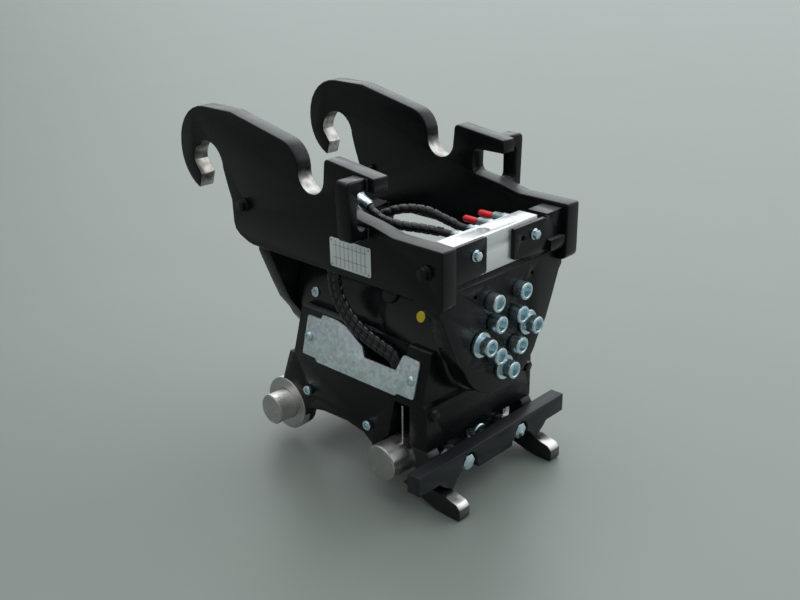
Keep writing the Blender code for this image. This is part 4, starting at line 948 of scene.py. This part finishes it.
def spiral(name, points, start, end, material):
    """A flat band wound round a hose with narrow gaps, leaving a length bare at its start and end."""
    frames = frames_along(points)
    total = frames[-1][4]
    section = (
        (-0.50, HOSE_R - WRAP_SINK),
        (0.50, HOSE_R - WRAP_SINK),
        (0.50, WRAP_R - WRAP_EDGE),
        (0.38, WRAP_R),
        (-0.38, WRAP_R),
        (-0.50, WRAP_R - WRAP_EDGE),
    )
    shell = bmesh.new()
    rings = []
    steps = math.ceil((total - start - end) / WRAP_PITCH * WRAP_STEPS)
    at = 0
    for i in range(steps + 1):
        length = start + (total - start - end) * i / steps
        while at < len(frames) - 2 and frames[at + 1][4] < length:
            at += 1
        low, high = frames[at], frames[at + 1]
        share = (length - low[4]) / max(high[4] - low[4], TINY)
        point = low[0].lerp(high[0], share)
        tangent = low[1].lerp(high[1], share).normalized()
        normal = low[2].lerp(high[2], share)
        side = low[3].lerp(high[3], share)
        turn = 2 * math.pi * length / WRAP_PITCH
        out = (normal * math.cos(turn) + side * math.sin(turn)).normalized()
        ring = []
        for along, reach in section:
            ring.append(shell.verts.new(point + tangent * along * WRAP_WIDTH + out * reach))
        rings.append(ring)
    for first, second in zip(rings, rings[1:]):
        bridge(shell, first, second, True)
    shell.faces.new(rings[0])
    shell.faces.new(rings[-1])
    return object_from(shell, name, Matrix.Identity(4), material, SHARP_WRAP)


def beside(points, shift):
    """A line shifted sideways in the side view, by an amount for each of its points."""
    moved = []
    for point, tangent, _, _, _ in frames_along(points):
        across = tangent.cross(Vector((0.0, 1.0, 0.0))).normalized()
        moved.append(point + across * shift(point))
    return moved


def pair_shift(point):
    """How far the feed hose stands beside its route: fully low down, and not at all over the deck."""
    over_deck = point.x >= 0.10 and point.z >= 0.3
    share = 0.0 if over_deck else min(1.0, max(0.0, (PAIR_TOP - point.z) / PAIR_FADE))
    return PAIR_APART * share


def hoses():
    """Two hoses rise side by side from the lower frame; one goes on over the deck to the manifold."""
    outer = beside(curve_points(FEED_ROUTE, HOSE_STEP), pair_shift)
    inner = beside(curve_points(FEED_ROUTE[:PAIR_END], HOSE_STEP), lambda point: -PAIR_APART)
    pieces = [
        tube("feed_hose", outer, HOSE_R, COARSE, "hose_black"),
        spiral("feed_hose_wrap", outer, 0.0, WRAP_BARE_END, "wrap"),
        tube("return_hose", inner, HOSE_R, COARSE, "hose_black"),
        spiral("return_hose_wrap", inner, 0.0, WRAP_BARE_HIDDEN, "wrap"),
    ]
    for piece in pieces:
        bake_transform(piece)
    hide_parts("hose_feed")
    line = curve_points(SUPPLY_ROUTE, HOSE_STEP)
    supply = tube("supply_hose", line, HOSE_R, COARSE, "hose_black")
    finer(supply, "hose_supply", "upper_frame")
    supply_wrap = spiral("supply_hose_wrap", line, WRAP_BARE_START, WRAP_BARE_END, "wrap")
    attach(supply_wrap, "upper_frame")


def rivets():
    """Four rivets in the data plate."""
    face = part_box("name_plate")[0].y
    dome = [(0.0, 0.0007), (0.0009, 0.0006), (0.0016, 0.0002), (0.0018, 0.0), (0.0, 0.0)]
    count = 0
    for x in (LABEL_LOW[0] + RIVET_INSET, LABEL_HIGH[0] - RIVET_INSET):
        for z in (LABEL_LOW[1] + RIVET_INSET, LABEL_HIGH[1] - RIVET_INSET):
            count += 1
            place = Matrix.Translation((x, face, z)) @ AXES["-Y"]
            rivet = turned("data_plate_rivet_%d" % count, dome, COARSE, place, "bare_steel")
            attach(rivet, "upper_frame")


def yellow_disc():
    """A plain yellow disc of film that follows the drum."""
    shell = bmesh.new()
    centre_angle = math.asin((DISC_Z - TILT_Z) / DRUM_R)
    lift = DRUM_R + DISC_LIFT
    sides = 40
    steps = 4
    rings = []
    for step in range(steps + 1):
        reach = DISC_R * step / steps
        ring = []
        for i in range(sides if step else 1):
            turn = 2 * math.pi * i / sides
            along = DISC_X + reach * math.cos(turn)
            angle = centre_angle + reach * math.sin(turn) / DRUM_R
            ring.append(shell.verts.new((along, -lift * math.cos(angle), TILT_Z + lift * math.sin(angle))))
        rings.append(ring)
    for first, second in zip(rings, rings[1:]):
        bridge(shell, first, second, True)
    film = object_from(shell, "yellow_disc", Matrix.Identity(4), "yellow")
    thick = film.modifiers.new("film", "SOLIDIFY")
    thick.thickness = DISC_THICK
    thick.offset = 1.0
    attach(film, "lower_frame")


def weld_ripple(length):
    """The change of a bead's radius along its length."""
    return RIPPLE * math.sin(length * 2 * math.pi / RIPPLE_PITCH)


def bead(name, route, radius, body):
    """A painted weld bead with its ripples."""
    points = []
    for a, b in zip(route, route[1:]):
        start = Vector(a)
        end = Vector(b)
        count = max(2, round((end - start).length / BEAD_STEP))
        points += [start.lerp(end, i / count) for i in range(count)]
    points.append(Vector(route[-1]))
    weld = tube(name, points, radius, BEAD_SIDES, "weld", weld_ripple)
    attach(weld, body)


def welds():
    """Beads at the end plates' corners and along the straps' ends."""
    for name, side in (("left", -1), ("right", 1)):
        y = side * (PLATE_IN - END_WELD_SINK)
        for place in ("front", "rear"):
            low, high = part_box("end_plate_" + place)
            inner = low.x if place == "front" else high.x
            line = [(inner, y, z) for z in END_WELD]
            bead("end_plate_weld_%s_%s" % (place, name), line, END_WELD_R, "upper_frame")
        low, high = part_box("guard_strap_" + name)
        out = side * (PLATE_OUT + STRAP_WELD_PROUD)
        for x in (low.x + STRAP_WELD_PROUD, high.x - STRAP_WELD_PROUD):
            ending = ("a" if x < STRAP_MIDDLE else "b", name)
            foot = [(x, out, low.z + STRAP_WELD_START), (x, out, low.z + STRAP_WELD_FOOT)]
            bead("strap_weld_foot_%s_%s" % ending, foot, STRAP_WELD_R, "upper_frame")
            top = [(x, out, high.z - STRAP_WELD_START), (x, out, high.z - STRAP_WELD_TOP)]
            bead("strap_weld_top_%s_%s" % ending, top, STRAP_WELD_R, "upper_frame")


def ramp(tree, value, low, high):
    """A smooth rise from 0 to 1 between two values."""
    node = tree.nodes.new("ShaderNodeMapRange")
    node.interpolation_type = "SMOOTHSTEP"
    node.inputs["From Min"].default_value = low
    node.inputs["From Max"].default_value = high
    tree.links.new(value, node.inputs["Value"])
    return node.outputs["Result"]


def surround():
    """A soft room: bright above and behind the object, dim low down in front."""
    world = bpy.data.worlds.new("surround")
    bpy.context.scene.world = world
    world.use_nodes = True
    tree = world.node_tree
    background = tree.nodes["Background"]
    direction = tree.nodes.new("ShaderNodeTexCoord").outputs["Generated"]
    parts = tree.nodes.new("ShaderNodeSeparateXYZ")
    tree.links.new(direction, parts.inputs[0])
    _, y, z = parts.outputs
    above = arithmetic(tree, "MULTIPLY", ramp(tree, z, 0.35, 0.80), SKY_TOP)
    behind = arithmetic(tree, "MULTIPLY", ramp(tree, y, 0.15, 0.65), ramp(tree, z, 0.02, 0.22))
    light = arithmetic(tree, "ADD", above, arithmetic(tree, "MULTIPLY", behind, SKY_BEHIND))
    light = arithmetic(tree, "ADD", light, SKY_LOW)
    seen = tree.nodes.new("ShaderNodeLightPath").outputs["Is Camera Ray"]
    plain = arithmetic(tree, "MULTIPLY", arithmetic(tree, "SUBTRACT", SKY_SEEN, light), seen)
    tree.links.new(arithmetic(tree, "ADD", light, plain), background.inputs["Strength"])
    background.inputs["Color"].default_value = SKY_COLOUR


def studio():
    """A plain pale floor, a soft room and two soft lamps."""
    bpy.context.scene.view_settings.view_transform = "Standard"
    mesh = bpy.data.meshes.new("floor")
    shell = bmesh.new()
    bmesh.ops.create_grid(shell, x_segments=1, y_segments=1, size=FLOOR_REACH)
    shell.to_mesh(mesh)
    shell.free()
    floor = bpy.data.objects.new("floor", mesh)
    bpy.context.scene.collection.objects.link(floor)
    floor.location.z = CAD_LOW.z - GAP
    finish = Finish("pale_floor", FLOOR, 0.38)
    cloudy = finish.noise(3.0, 4.0)
    finish.set("Base Color", finish.blend(cloudy, shade(FLOOR, 0.96), shade(FLOOR, 1.04)))
    mesh.materials.append(finish.material)
    surround()
    for name, place, width, height, power in LAMPS:
        data = bpy.data.lights.new(name, "AREA")
        data.shape = "RECTANGLE"
        data.size = width
        data.size_y = height
        data.energy = power
        lamp = bpy.data.objects.new(name, data)
        bpy.context.scene.collection.objects.link(lamp)
        lamp.location = place
        aim = Vector(AIM) - Vector(place)
        lamp.rotation_mode = "QUATERNION"
        lamp.rotation_quaternion = aim.to_track_quat("-Z", "Y")
        lamp.visible_camera = False


make_camera()
MATERIALS = make_materials()
dress_nodes()
actuator()
hoses()
shaft_screws()
pins()
rivets()
yellow_disc()
welds()
studio()
